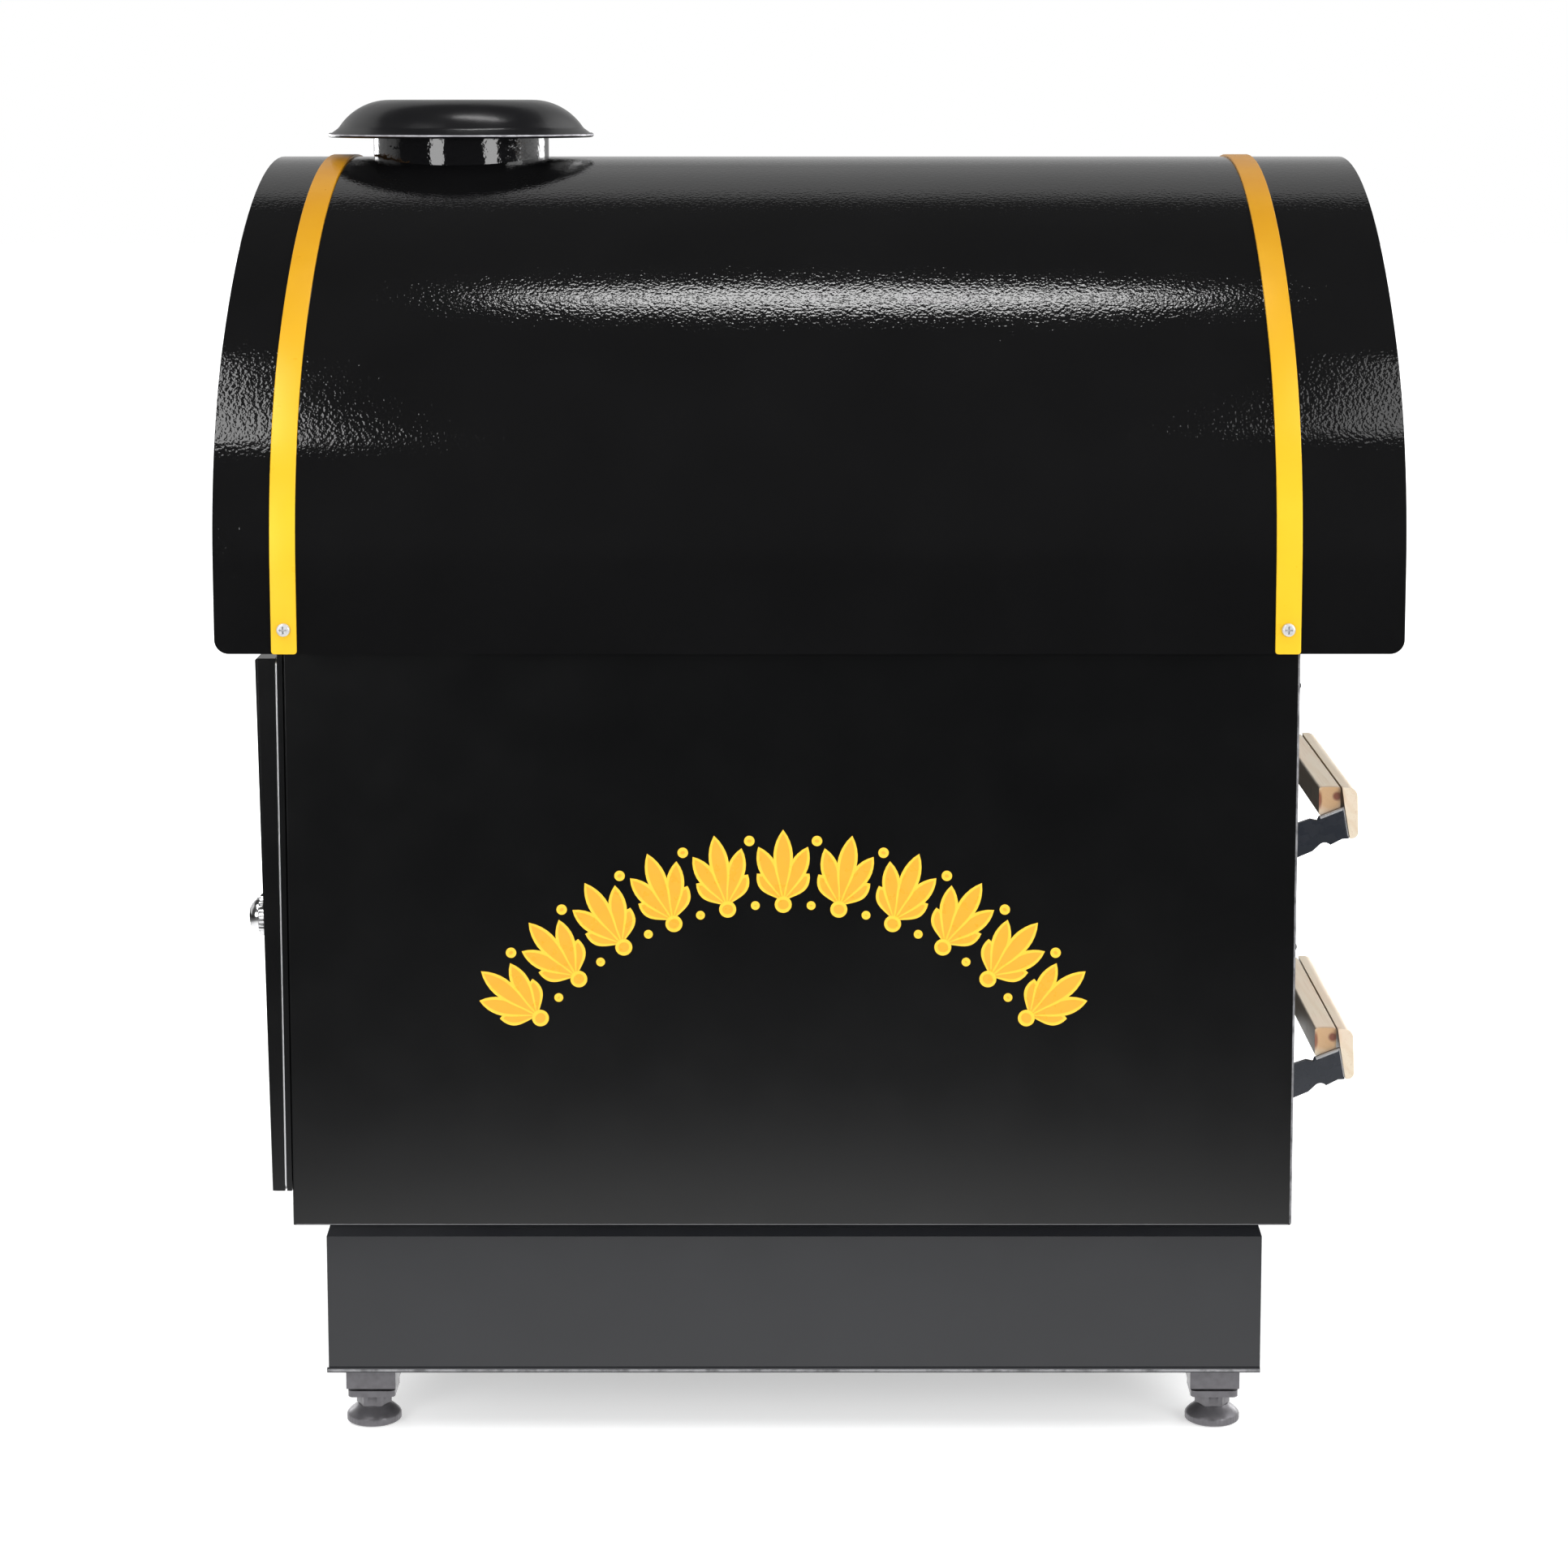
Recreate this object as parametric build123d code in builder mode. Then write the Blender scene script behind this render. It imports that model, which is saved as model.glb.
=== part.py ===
from build123d import *
import math
import os

# Baked potato oven: a two-deck oven under a barrel roof that also covers a display chamber.
# Millimetres, +Z up. X runs along the barrel, from the rear cover (-X) to the doors (+X).
# The near side is -Y, the far side is +Y. The origin is on the floor under the middle of the roof.

# --- Driving dimensions -------------------------------------------------------------------------
SHEET = 1.2                  # casing steel
SEAM = 0.2                   # air between neighbouring sheets
JOINT_GAP = 0.3              # air between a moving piece and a fixed one

ROOF_LENGTH = 580.0
ROOF_HALF_WIDTH = 255.0
ROOF_BOTTOM_Z = 401.6
ROOF_SHEET = 1.5
ROOF_CORNER_RADIUS = 7.0
SPRING_Z = 444.0             # where the straight skirt turns into the arch
SIDE_RADIUS = 150.0          # the arch is three-centred: two side arcs and a crown arc
CROWN_RADIUS = 297.0

STRAP_WIDTH = 12.5
STRAP_SHEET = 1.2
STRAP_EDGE_RADIUS = 0.5
STRAP_CORNER_RADIUS = 1.5
STRAP_LEFT_XS = (-262.2, 226.9)
STRAP_SCREW_Z = 413.7
STRAP_SCREW_XS = tuple(x + STRAP_WIDTH / 2 for x in STRAP_LEFT_XS)
STRAP_SCREW_HOLE = 1.8
STRAP_SCREW_RADIUS = 1.65
STRAP_SCREW_HEAD = (3.25, 1.9)     # radius and height
STRAP_SCREW_SLOT = (0.4, 1.9)      # half width and half length of each arm of the cross

BODY_LEFT_X = -257.3
BODY_RIGHT_X = 239.5
BODY_HALF_WIDTH = 252.0
BODY_BOTTOM_Z = 113.5
BODY_TOP_Z = 440.0
RETURN_WIDTH = 14.0          # folded edge at each end of a side panel
RETURN_TOP_Z = 408.0

PLINTH_X = (-242.4, 226.6)
PLINTH_HALF_WIDTH = 241.0
PLINTH_BOTTOM_Z = 33.5
PLINTH_BEVEL_Z = 104.0       # the top of the wall leans in above this height
PLINTH_BEVEL = 2.9
HEM_HEIGHT = 2.5
HEM_PROUD = 0.8

COVER_BOTTOM_Z = 131.0
COVER_TOP_Z = 399.0
COVER_BACK_X = -261.0
COVER_FACE_XS = (-267.4, -271.0)   # at the bottom and at the top
COVER_NUT_Y = 228.0
COVER_NUT_Z = 266.0
COVER_NUT_RADIUS = 10.4
COVER_STUD_HOLE = 3.3
COVER_NUT_BASE_X = -269.6
COVER_NUT_TIP_X = -279.5

FLUE_X = -192.0
FLUE_RADIUS = 47.8
FLUE_SHEET = 1.5
FLUE_Z = (624.0, 656.0)
CAP_RIM_Z = 650.6
CAP_RIM_RADIUS = 71.2
CAP_RISE = 18.4
CAP_FLAT_RADIUS = 39.0
CAP_SHOULDER_RADIUS = 33.0
CAP_SHOULDER_ANGLE = 56.0    # how steep the shoulder gets before the rim flares out
CAP_FLARE_RADIUS = 5.0
CAP_FLARE_ANGLE = 20.0
CAP_BEAD_RADIUS = 1.2
CAP_SHEET = 1.4              # measured straight up
CAP_STRIP = 1.5              # thickness of the three strips that hold the cap on the pipe
CAP_STRIP_HALF_WIDTH = 6.0
CAP_STRIP_FOOT_Z = 636.0

DOOR_PITCH = 133.0
DOOR_HEIGHT = 124.2
DOOR_HALF_WIDTH = 228.0
DOOR_FRONT_X = 241.0
DOOR_DEPTH = 19.0
DOOR_WALL_X = DOOR_FRONT_X - DOOR_DEPTH
LOWER_DOOR_Z = 120.0
HINGE_X = 242.3
HINGE_ABOVE_DOOR = 2.8       # from the top edge of the door to the pin
HINGE_BARREL_RADIUS = 2.5
HINGE_PIN_RADIUS = 1.25
HINGE_LENGTH = 60.0
HINGE_CENTRE_Y = 188.0
HINGE_LEAF = 1.2

MOUTH_X = 219.0              # front end of the oven cavities
MOUTH_HALF_WIDTH = 219.0
RECESS_HALF_WIDTH = 229.5
LOWER_RECESS_Z = (118.5, 245.5)
LINER_SHEET = 1.0
LINER_BACK_X = -228.0

GRIP_HALF_LENGTH = 84.0
GRIP_PLATE = 3.0             # thickness of a bracket arm
GRIP_FOLD_RADIUS = 1.3
GRIP_HEIGHTS = (21.4, 49.3)  # foot and top of the outer slat above the bottom of the door
INNER_SLAT_X = (BODY_RIGHT_X + 34.0, BODY_RIGHT_X + 45.6)
INNER_SLAT_HEIGHTS = (33.6, 48.9)

PANE_OPENING_Z = (425.0, 548.0)
PANE_OPENING_HALF_WIDTH = 182.0
PANE_THICKNESS = 4.0
PANE_Z = (412.0, 557.0)
PANE_OUTER_Y = 190.0
PANE_OVERLAP = 8.0
FRONT_PANE_X = 233.0         # middle of the glass
REAR_PANE_X = 227.0

DISPLAY_FLOOR_Z = 405.0
TRAY_TOP_Z = 420.0
RUNNER_ZS = (144.0, 277.0)
RACK_WIRE_RADIUS = 3.0
ELEMENT_ZS = (131.0, 263.0)
ELEMENT_RADIUS = 4.0

CONTROL_Z = 72.0
KNOB_YS = {"timer": -35.0, "thermostat": 45.0}
ROCKER_YS = {"main": 125.0, "lamp": 165.0}
PILOT_Z = 100.0
PILOT_RADII = (4.0, 5.0)     # stem and head
SPINDLE_RADIUS = 3.0
SPINDLE_CLEARANCE = 0.05
KNOB_RADIUS = 19.0
KNOB_TIP_X = 244.5
ROCKER_PIVOT_X = 221.5
ROCKER_TILT = 8.0

FOOT_XS = (-223.0, 205.4)
FOOT_Y = 216.0
FOOT_RADIUS = 14.0
FOOT_HEXAGON = 7.7           # from the middle to a flat
FOOT_STUD_RADIUS = 5.0
FOOT_NUT_Z = (15.4, 18.6)
FOOT_BLOCK = 25.0
FOOT_WASHER = (9.0, 1.4)     # radius and thickness
FOOT_HEIGHT = 9.0            # of the domed disc
FOOT_STUD_TOP_Z = 58.0

FRONT_INNER_X = BODY_RIGHT_X - SHEET
ARCH_INSET = ROOF_SHEET + SEAM
STEP_OVER = 5.0              # how far a cutting shape runs past what it cuts
THROUGH = 300.0              # half length of a cut that goes right across the oven

os.makedirs("parts", exist_ok=True)


# --- Helpers ------------------------------------------------------------------------------------
def block(x, y, z, mode=Mode.ADD):
    """A box between two values along each axis, each given as a pair."""
    middle = ((x[0] + x[1]) / 2, (y[0] + y[1]) / 2, (z[0] + z[1]) / 2)
    with Locations(middle):
        Box(abs(x[1] - x[0]), abs(y[1] - y[0]), abs(z[1] - z[0]), mode=mode)


def rod_x(x, y, z, radius, mode=Mode.ADD):
    """A round bar along X between a pair of X values."""
    with Locations(((x[0] + x[1]) / 2, y, z)):
        Cylinder(radius, abs(x[1] - x[0]), rotation=(0, 90, 0), mode=mode)


def rod_y(x, y, z, radius, mode=Mode.ADD):
    """A round bar along Y between a pair of Y values."""
    with Locations((x, (y[0] + y[1]) / 2, z)):
        Cylinder(radius, abs(y[1] - y[0]), rotation=(90, 0, 0), mode=mode)


def rod_z(x, y, z, radius, mode=Mode.ADD):
    """A round bar along Z between a pair of Z values."""
    with Locations((x, y, (z[0] + z[1]) / 2)):
        Cylinder(radius, abs(z[1] - z[0]), mode=mode)


def on_side(side, inner, outer):
    """A pair of Y values on the near (-1) or far (+1) side."""
    return (side * inner, side * outer)


def vault_face(inset, bottom, mode=Mode.ADD):
    """Upright face under an arch that lies a distance inside the outer skin of the roof."""
    half = ROOF_HALF_WIDTH - inset
    side_centre = ROOF_HALF_WIDTH - SIDE_RADIUS
    centre_drop = math.sqrt((CROWN_RADIUS - SIDE_RADIUS) ** 2 - side_centre**2)
    side_angle = math.degrees(math.atan2(centre_drop, side_centre))
    with BuildLine(mode=Mode.PRIVATE) as outline:
        near_wall = Line((-half, bottom), (-half, SPRING_Z))
        near_arc = JernArc(near_wall @ 1, near_wall % 1, SIDE_RADIUS - inset, -side_angle)
        crown = JernArc(near_arc @ 1, near_arc % 1, CROWN_RADIUS - inset, 2 * side_angle - 180)
        far_arc = JernArc(crown @ 1, crown % 1, SIDE_RADIUS - inset, -side_angle)
        far_wall = Line(far_arc @ 1, (half, bottom))
        Line(far_wall @ 1, near_wall @ 0)
    make_face(outline.edges(), mode=mode)


def end_face(inset, bottom, mode=Mode.ADD):
    """As vault_face, but narrowed to pass between the side panels of the casing."""
    vault_face(inset, bottom, mode)
    panel_inner = BODY_HALF_WIDTH - SHEET - SEAM
    strip = ROOF_HALF_WIDTH - panel_inner
    height = BODY_TOP_Z + 1 - bottom
    with Locations(*[(s * (panel_inner + strip / 2), bottom + height / 2) for s in (-1, 1)]):
        Rectangle(strip, height, mode=Mode.SUBTRACT)


def finish(piece, name):
    """Name a finished piece and write it."""
    piece.part.label = name
    export_step(piece.part, f"parts/{name}.step")


# --- Roof, trim and flue ------------------------------------------------------------------------
with BuildPart() as roof_cover:
    with BuildSketch(Plane.YZ.offset(-ROOF_LENGTH / 2)):
        vault_face(0, ROOF_BOTTOM_Z)
        vault_face(ROOF_SHEET, ROOF_BOTTOM_Z - STEP_OVER, Mode.SUBTRACT)
    extrude(amount=ROOF_LENGTH)
    fillet(roof_cover.edges().filter_by(Axis.Y).group_by(Axis.Z)[0], ROOF_CORNER_RADIUS)
    rod_z(FLUE_X, 0, (FLUE_Z[0] - STEP_OVER, FLUE_Z[1]), FLUE_RADIUS + SEAM, Mode.SUBTRACT)
    for screw_x in STRAP_SCREW_XS:
        rod_y(screw_x, (-THROUGH, THROUGH), STRAP_SCREW_Z, STRAP_SCREW_HOLE, Mode.SUBTRACT)
finish(roof_cover, "roof_cover")

with BuildPart() as trim_straps:
    for strap_x in STRAP_LEFT_XS:
        with BuildSketch(Plane.YZ.offset(strap_x)):
            vault_face(-STRAP_SHEET - SEAM / 4, ROOF_BOTTOM_Z)
            vault_face(-SEAM / 4, ROOF_BOTTOM_Z - STEP_OVER, Mode.SUBTRACT)
        extrude(amount=STRAP_WIDTH)
    fillet(trim_straps.edges().filter_by(Axis.Y).group_by(Axis.Z)[0], STRAP_CORNER_RADIUS)
    strap_face_y = ROOF_HALF_WIDTH + STRAP_SHEET
    face_radii = [radius + STRAP_SHEET + SEAM / 4 for radius in (SIDE_RADIUS, CROWN_RADIUS)]
    arcs = trim_straps.edges().filter_by(GeomType.CIRCLE)
    uprights = trim_straps.edges().filter_by(Axis.Z)
    feet = trim_straps.edges().filter_by(Axis.X).group_by(Axis.Z)[0]
    rims = [arc for arc in arcs if min(abs(arc.radius - radius) for radius in face_radii) < SEAM / 10]
    rims += [e for e in uprights + feet if abs(e.center().Y) > strap_face_y]
    rims += [arc for arc in arcs
             if arc.radius < 2 * STRAP_CORNER_RADIUS and abs(arc.center().Y) > strap_face_y]
    fillet(rims, STRAP_EDGE_RADIUS)
    for screw_x in STRAP_SCREW_XS:
        rod_y(screw_x, (-THROUGH, THROUGH), STRAP_SCREW_Z, STRAP_SCREW_HOLE, Mode.SUBTRACT)
finish(trim_straps, "trim_straps")

with BuildPart() as strap_screws:
    head_radius, head_height = STRAP_SCREW_HEAD
    head_base = ROOF_HALF_WIDTH + STRAP_SHEET + SEAM / 2
    for side in (-1, 1):
        for screw_x in STRAP_SCREW_XS:
            rod_y(screw_x, on_side(side, head_base, head_base + head_height), STRAP_SCREW_Z, head_radius)
            rod_y(screw_x, on_side(side, BODY_HALF_WIDTH - SHEET, head_base), STRAP_SCREW_Z,
                  STRAP_SCREW_RADIUS)
    head_rims = strap_screws.edges().filter_by(GeomType.CIRCLE).group_by(Axis.Y)
    fillet(head_rims[0] + head_rims[-1], head_height - 0.9)
    for side in (-1, 1):
        slot_y = on_side(side, head_base + head_height / 2, head_base + STEP_OVER)
        for screw_x in STRAP_SCREW_XS:
            for half_x, half_z in (STRAP_SCREW_SLOT, STRAP_SCREW_SLOT[::-1]):
                block((screw_x - half_x, screw_x + half_x), slot_y,
                      (STRAP_SCREW_Z - half_z, STRAP_SCREW_Z + half_z), Mode.SUBTRACT)
finish(strap_screws, "strap_screws")

with BuildPart() as chimney_pipe:
    rod_z(FLUE_X, 0, FLUE_Z, FLUE_RADIUS)
    rod_z(FLUE_X, 0, FLUE_Z, FLUE_RADIUS - FLUE_SHEET, Mode.SUBTRACT)
finish(chimney_pipe, "chimney_pipe")


def cap_curve(drop):
    """Half section of the flue cap from its middle to its rim, lowered by drop."""
    top = CAP_RIM_Z + CAP_RISE - drop
    flat = Line((0, top), (CAP_FLAT_RADIUS, top))
    shoulder = JernArc(flat @ 1, flat % 1, CAP_SHOULDER_RADIUS, -CAP_SHOULDER_ANGLE)
    flare = JernArc(shoulder @ 1, shoulder % 1, CAP_FLARE_RADIUS, CAP_FLARE_ANGLE)
    brim = Line(flare @ 1, (CAP_RIM_RADIUS, CAP_RIM_Z - drop))
    return flat, brim


with BuildPart() as chimney_cap:
    with BuildSketch(Plane.XZ):
        with BuildLine():
            outer_flat, outer_brim = cap_curve(0)
            inner_flat, inner_brim = cap_curve(CAP_SHEET)
            Line(outer_flat @ 0, inner_flat @ 0)
            Line(outer_brim @ 1, inner_brim @ 1)
        make_face()
        with Locations((CAP_RIM_RADIUS, CAP_RIM_Z - CAP_SHEET / 2)):
            Circle(CAP_BEAD_RADIUS)
    revolve(axis=Axis.Z)
chimney_cap.part = chimney_cap.part.moved(Location((FLUE_X, 0, 0)))
finish(chimney_cap, "chimney_cap")

with BuildPart() as cap_brackets:
    strip_radius = FLUE_RADIUS - FLUE_SHEET - 3 * SEAM
    knee_radius = strip_radius - 9.5
    tab_radius = knee_radius - 8.5
    top_z = CAP_RIM_Z + CAP_RISE - CAP_SHEET - SEAM
    knee_z = top_z - 4
    strip_y = (-CAP_STRIP_HALF_WIDTH, CAP_STRIP_HALF_WIDTH)
    for turn in (90, 210, 330):
        with Locations(Location((FLUE_X, 0, 0), (0, 0, turn))):
            block((strip_radius - CAP_STRIP, strip_radius), strip_y, (CAP_STRIP_FOOT_Z, knee_z))
            block((knee_radius, strip_radius), strip_y, (knee_z - CAP_STRIP, knee_z))
            block((knee_radius, knee_radius + CAP_STRIP), strip_y, (knee_z - CAP_STRIP, top_z))
            block((tab_radius, knee_radius + CAP_STRIP), strip_y, (top_z - CAP_STRIP, top_z))
finish(cap_brackets, "cap_brackets")


# --- Casing -------------------------------------------------------------------------------------
def side_panel(side):
    """Side wall of the casing, with a return folded in at each end below the roof."""
    wall_y = side * (BODY_HALF_WIDTH - SHEET / 2)
    return_y = side * (BODY_HALF_WIDTH - RETURN_WIDTH / 2)
    length = BODY_RIGHT_X - BODY_LEFT_X
    middle_x = (BODY_RIGHT_X + BODY_LEFT_X) / 2
    with BuildPart() as panel:
        with BuildSketch(Plane.XY.offset(BODY_BOTTOM_Z)) as section:
            with Locations((middle_x, wall_y)):
                Rectangle(length, SHEET)
            ends = [(x, return_y) for x in (BODY_LEFT_X + SHEET / 2, BODY_RIGHT_X - SHEET / 2)]
            with Locations(*ends):
                Rectangle(SHEET, RETURN_WIDTH)
            outer_corners = section.vertices().group_by(Axis.Y)[0 if side < 0 else -1]
            fillet(outer_corners, 1.1)
        extrude(amount=RETURN_TOP_Z - BODY_BOTTOM_Z)
        block((BODY_LEFT_X + 2, BODY_RIGHT_X - 2),
              on_side(side, BODY_HALF_WIDTH - SHEET, BODY_HALF_WIDTH), (RETURN_TOP_Z, BODY_TOP_Z))
        for screw_x in STRAP_SCREW_XS:
            rod_y(screw_x, on_side(side, BODY_HALF_WIDTH - RETURN_WIDTH, ROOF_HALF_WIDTH),
                  STRAP_SCREW_Z, STRAP_SCREW_HOLE, Mode.SUBTRACT)
    return panel


for side, name in ((-1, "side_panel_near"), (1, "side_panel_far")):
    finish(side_panel(side), name)

with BuildPart() as rear_wall:
    block((BODY_LEFT_X - 2.7, BODY_LEFT_X - SEAM), (-BODY_HALF_WIDTH, BODY_HALF_WIDTH),
          (COVER_BOTTOM_Z, RETURN_TOP_Z + 4))
    for side in (-1, 1):
        rod_x((BODY_LEFT_X - STEP_OVER, BODY_LEFT_X + STEP_OVER), side * COVER_NUT_Y, COVER_NUT_Z,
              COVER_STUD_HOLE, Mode.SUBTRACT)
finish(rear_wall, "rear_wall")

with BuildPart() as rear_cover:
    with BuildSketch(Plane.XZ.offset(-BODY_HALF_WIDTH)):
        Polygon((COVER_BACK_X, COVER_BOTTOM_Z), (COVER_FACE_XS[0], COVER_BOTTOM_Z),
                (COVER_FACE_XS[1], COVER_TOP_Z), (COVER_BACK_X, COVER_TOP_Z), align=None)
    extrude(amount=2 * BODY_HALF_WIDTH)
    fillet(rear_cover.edges().group_by(Axis.X)[0] + rear_cover.edges().filter_by(GeomType.LINE)
           .filter_by(lambda e: e.center().X < COVER_FACE_XS[0] - 1 and abs(e.center().Y) > 200), 1.5)
    offset(amount=-SHEET, openings=rear_cover.faces().sort_by(Axis.X)[-1])
    for side in (-1, 1):
        rod_x((COVER_NUT_TIP_X, COVER_BACK_X), side * COVER_NUT_Y, COVER_NUT_Z, COVER_STUD_HOLE,
              Mode.SUBTRACT)
finish(rear_cover, "rear_cover")

with BuildPart() as cover_nuts:
    for side in (-1, 1):
        rod_x((COVER_NUT_TIP_X, COVER_NUT_BASE_X), side * COVER_NUT_Y, COVER_NUT_Z, COVER_NUT_RADIUS)
        rod_x((COVER_NUT_BASE_X, BODY_LEFT_X + 1.5), side * COVER_NUT_Y, COVER_NUT_Z, 3.0)
    fillet(cover_nuts.edges().filter_by(GeomType.CIRCLE).group_by(Axis.X)[0], 2.5)
finish(cover_nuts, "cover_nuts")

FRAME_BACK_X = -254.6
FRAME_BORDER = 24.0
with BuildPart() as display_frame:
    with BuildSketch(Plane.YZ.offset(BODY_LEFT_X)):
        end_face(ARCH_INSET, RETURN_TOP_Z + SEAM)
        vault_face(FRAME_BORDER, RETURN_TOP_Z + 14, Mode.SUBTRACT)
    extrude(amount=FRAME_BACK_X - BODY_LEFT_X)
    with BuildSketch(Plane.YZ.offset(FRAME_BACK_X)):
        vault_face(ARCH_INSET, BODY_TOP_Z + 2)
        vault_face(ARCH_INSET + SHEET, BODY_TOP_Z + 2 - STEP_OVER, Mode.SUBTRACT)
    extrude(amount=12)
finish(display_frame, "display_frame")

with BuildPart() as display_glass:
    with BuildSketch(Plane.YZ.offset(FRAME_BACK_X + SEAM)):
        vault_face(14, 411)
    extrude(amount=PANE_THICKNESS)
finish(display_glass, "display_glass")

with BuildPart() as front_frame:
    frame_z = (BODY_BOTTOM_Z, RETURN_TOP_Z)
    flange_z = (BODY_BOTTOM_Z, DISPLAY_FLOOR_Z - SHEET - SEAM)
    post_outer = BODY_HALF_WIDTH - RETURN_WIDTH - SEAM
    for side in (-1, 1):
        block((FRONT_INNER_X, BODY_RIGHT_X), on_side(side, RECESS_HALF_WIDTH, post_outer), frame_z)
        block((MOUTH_X, BODY_RIGHT_X),
              on_side(side, RECESS_HALF_WIDTH, RECESS_HALF_WIDTH + SHEET), frame_z)
        block((MOUTH_X, MOUTH_X + SHEET),
              on_side(side, MOUTH_HALF_WIDTH, RECESS_HALF_WIDTH + SHEET), flange_z)
finish(front_frame, "front_frame")

rail_y = (-RECESS_HALF_WIDTH, RECESS_HALF_WIDTH)
flange_y = (-MOUTH_HALF_WIDTH, MOUTH_HALF_WIDTH)
recess_z = [(LOWER_RECESS_Z[0] + n * DOOR_PITCH, LOWER_RECESS_Z[1] + n * DOOR_PITCH) for n in (0, 1)]
with BuildPart() as front_rails:
    sill_z, bar_z, header_z = recess_z[0][0], (recess_z[0][1], recess_z[1][0]), recess_z[1][1]
    block((FRONT_INNER_X, BODY_RIGHT_X), rail_y, (BODY_BOTTOM_Z, sill_z))
    block((MOUTH_X + SHEET, BODY_RIGHT_X), rail_y, (sill_z - SHEET, sill_z))
    block((MOUTH_X, MOUTH_X + SHEET), flange_y, (sill_z - SHEET, sill_z + 4))
    block((MOUTH_X + SHEET, BODY_RIGHT_X), rail_y, bar_z)
    block((MOUTH_X + 2 * SHEET, FRONT_INNER_X), rail_y, (bar_z[0] + SHEET, bar_z[1] - SHEET),
          Mode.SUBTRACT)
    block((MOUTH_X, MOUTH_X + SHEET), flange_y, (bar_z[0] - 4, bar_z[1] + 4))
    block((FRONT_INNER_X, BODY_RIGHT_X), rail_y, (header_z, RETURN_TOP_Z))
    block((MOUTH_X + SHEET, BODY_RIGHT_X), rail_y, (header_z, header_z + SHEET))
    block((MOUTH_X, MOUTH_X + SHEET), flange_y, (header_z - 4, header_z + SHEET))
    block((MOUTH_X, BODY_RIGHT_X), rail_y, (DISPLAY_FLOOR_Z - SHEET, DISPLAY_FLOOR_Z))
finish(front_rails, "front_rails")

with BuildPart() as front_arch:
    opening_height = PANE_OPENING_Z[1] - PANE_OPENING_Z[0]
    with BuildSketch(Plane.YZ.offset(FRONT_INNER_X)):
        end_face(ARCH_INSET, RETURN_TOP_Z + SEAM)
        with Locations((0, sum(PANE_OPENING_Z) / 2)):
            RectangleRounded(2 * PANE_OPENING_HALF_WIDTH, opening_height, 10, mode=Mode.SUBTRACT)
    extrude(amount=SHEET)
    with BuildSketch(Plane.YZ.offset(FRONT_INNER_X)):
        vault_face(ARCH_INSET, BODY_TOP_Z + 2)
        vault_face(ARCH_INSET + SHEET, BODY_TOP_Z + 2 - STEP_OVER, Mode.SUBTRACT)
    extrude(amount=-12)
finish(front_arch, "front_arch")

with BuildPart() as pane_tracks:
    track_back_x = REAR_PANE_X - PANE_THICKNESS / 2 - JOINT_GAP - SHEET
    middle_fin_x = (FRONT_PANE_X + REAR_PANE_X) / 2
    fin_xs = ((track_back_x, track_back_x + SHEET), (middle_fin_x - 0.7, middle_fin_x + 0.7),
              (FRONT_PANE_X + PANE_THICKNESS / 2 + JOINT_GAP, FRONT_INNER_X - SEAM))
    base_x = (track_back_x, FRONT_INNER_X - SEAM)
    track_y = (-PANE_OUTER_Y, PANE_OUTER_Y)
    for base_z, fin_z in (((410, 411.5), (411.5, 418)), ((560.5, 562), (551, 560.5))):
        block(base_x, track_y, base_z)
        for fin_x in fin_xs:
            block(fin_x, track_y, fin_z)
finish(pane_tracks, "pane_tracks")


# --- Plinth -------------------------------------------------------------------------------------
def plinth_section(face):
    """Section of a plinth wall as (distance from the middle, height) points, outermost at face."""
    top = BODY_BOTTOM_Z - SEAM
    return ((face, PLINTH_BOTTOM_Z), (face, PLINTH_BEVEL_Z), (face - PLINTH_BEVEL, top),
            (face - PLINTH_BEVEL - SHEET, top), (face - SHEET, PLINTH_BEVEL_Z),
            (face - SHEET, PLINTH_BOTTOM_Z))


END_WALL_HALF = PLINTH_HALF_WIDTH - PLINTH_BEVEL - SHEET - SEAM
WALL_TOP_Z = BODY_BOTTOM_Z - SEAM
GLAND_Y, GLAND_Z = 150.0, 70.0
with BuildPart() as plinth_walls:
    for side in (-1, 1):
        with BuildSketch(Plane.YZ.offset(PLINTH_X[0])):
            Polygon(*[(side * y, z) for y, z in plinth_section(PLINTH_HALF_WIDTH)], align=None)
        extrude(amount=PLINTH_X[1] - PLINTH_X[0])
    with BuildSketch(Plane.XZ.offset(-PLINTH_HALF_WIDTH)):
        for face_x, inward in ((PLINTH_X[0], 1), (PLINTH_X[1], -1)):
            Polygon((face_x, PLINTH_BEVEL_Z), (face_x + inward * PLINTH_BEVEL, WALL_TOP_Z),
                    (face_x, WALL_TOP_Z), align=None)
    extrude(amount=2 * PLINTH_HALF_WIDTH, mode=Mode.SUBTRACT)
    for side in (-1, 1):
        block((PLINTH_X[0] - HEM_PROUD, PLINTH_X[1]),
              on_side(side, PLINTH_HALF_WIDTH, PLINTH_HALF_WIDTH + HEM_PROUD),
              (PLINTH_BOTTOM_Z, PLINTH_BOTTOM_Z + HEM_HEIGHT))
    with BuildSketch(Plane.XZ.offset(-END_WALL_HALF)):
        Polygon(*[(-x, z) for x, z in plinth_section(-PLINTH_X[0])], align=None)
    extrude(amount=2 * END_WALL_HALF)
    rod_x((PLINTH_X[0] - 3, PLINTH_X[0] + 3), GLAND_Y, GLAND_Z, 8.2, Mode.SUBTRACT)
finish(plinth_walls, "plinth_walls")

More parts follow.
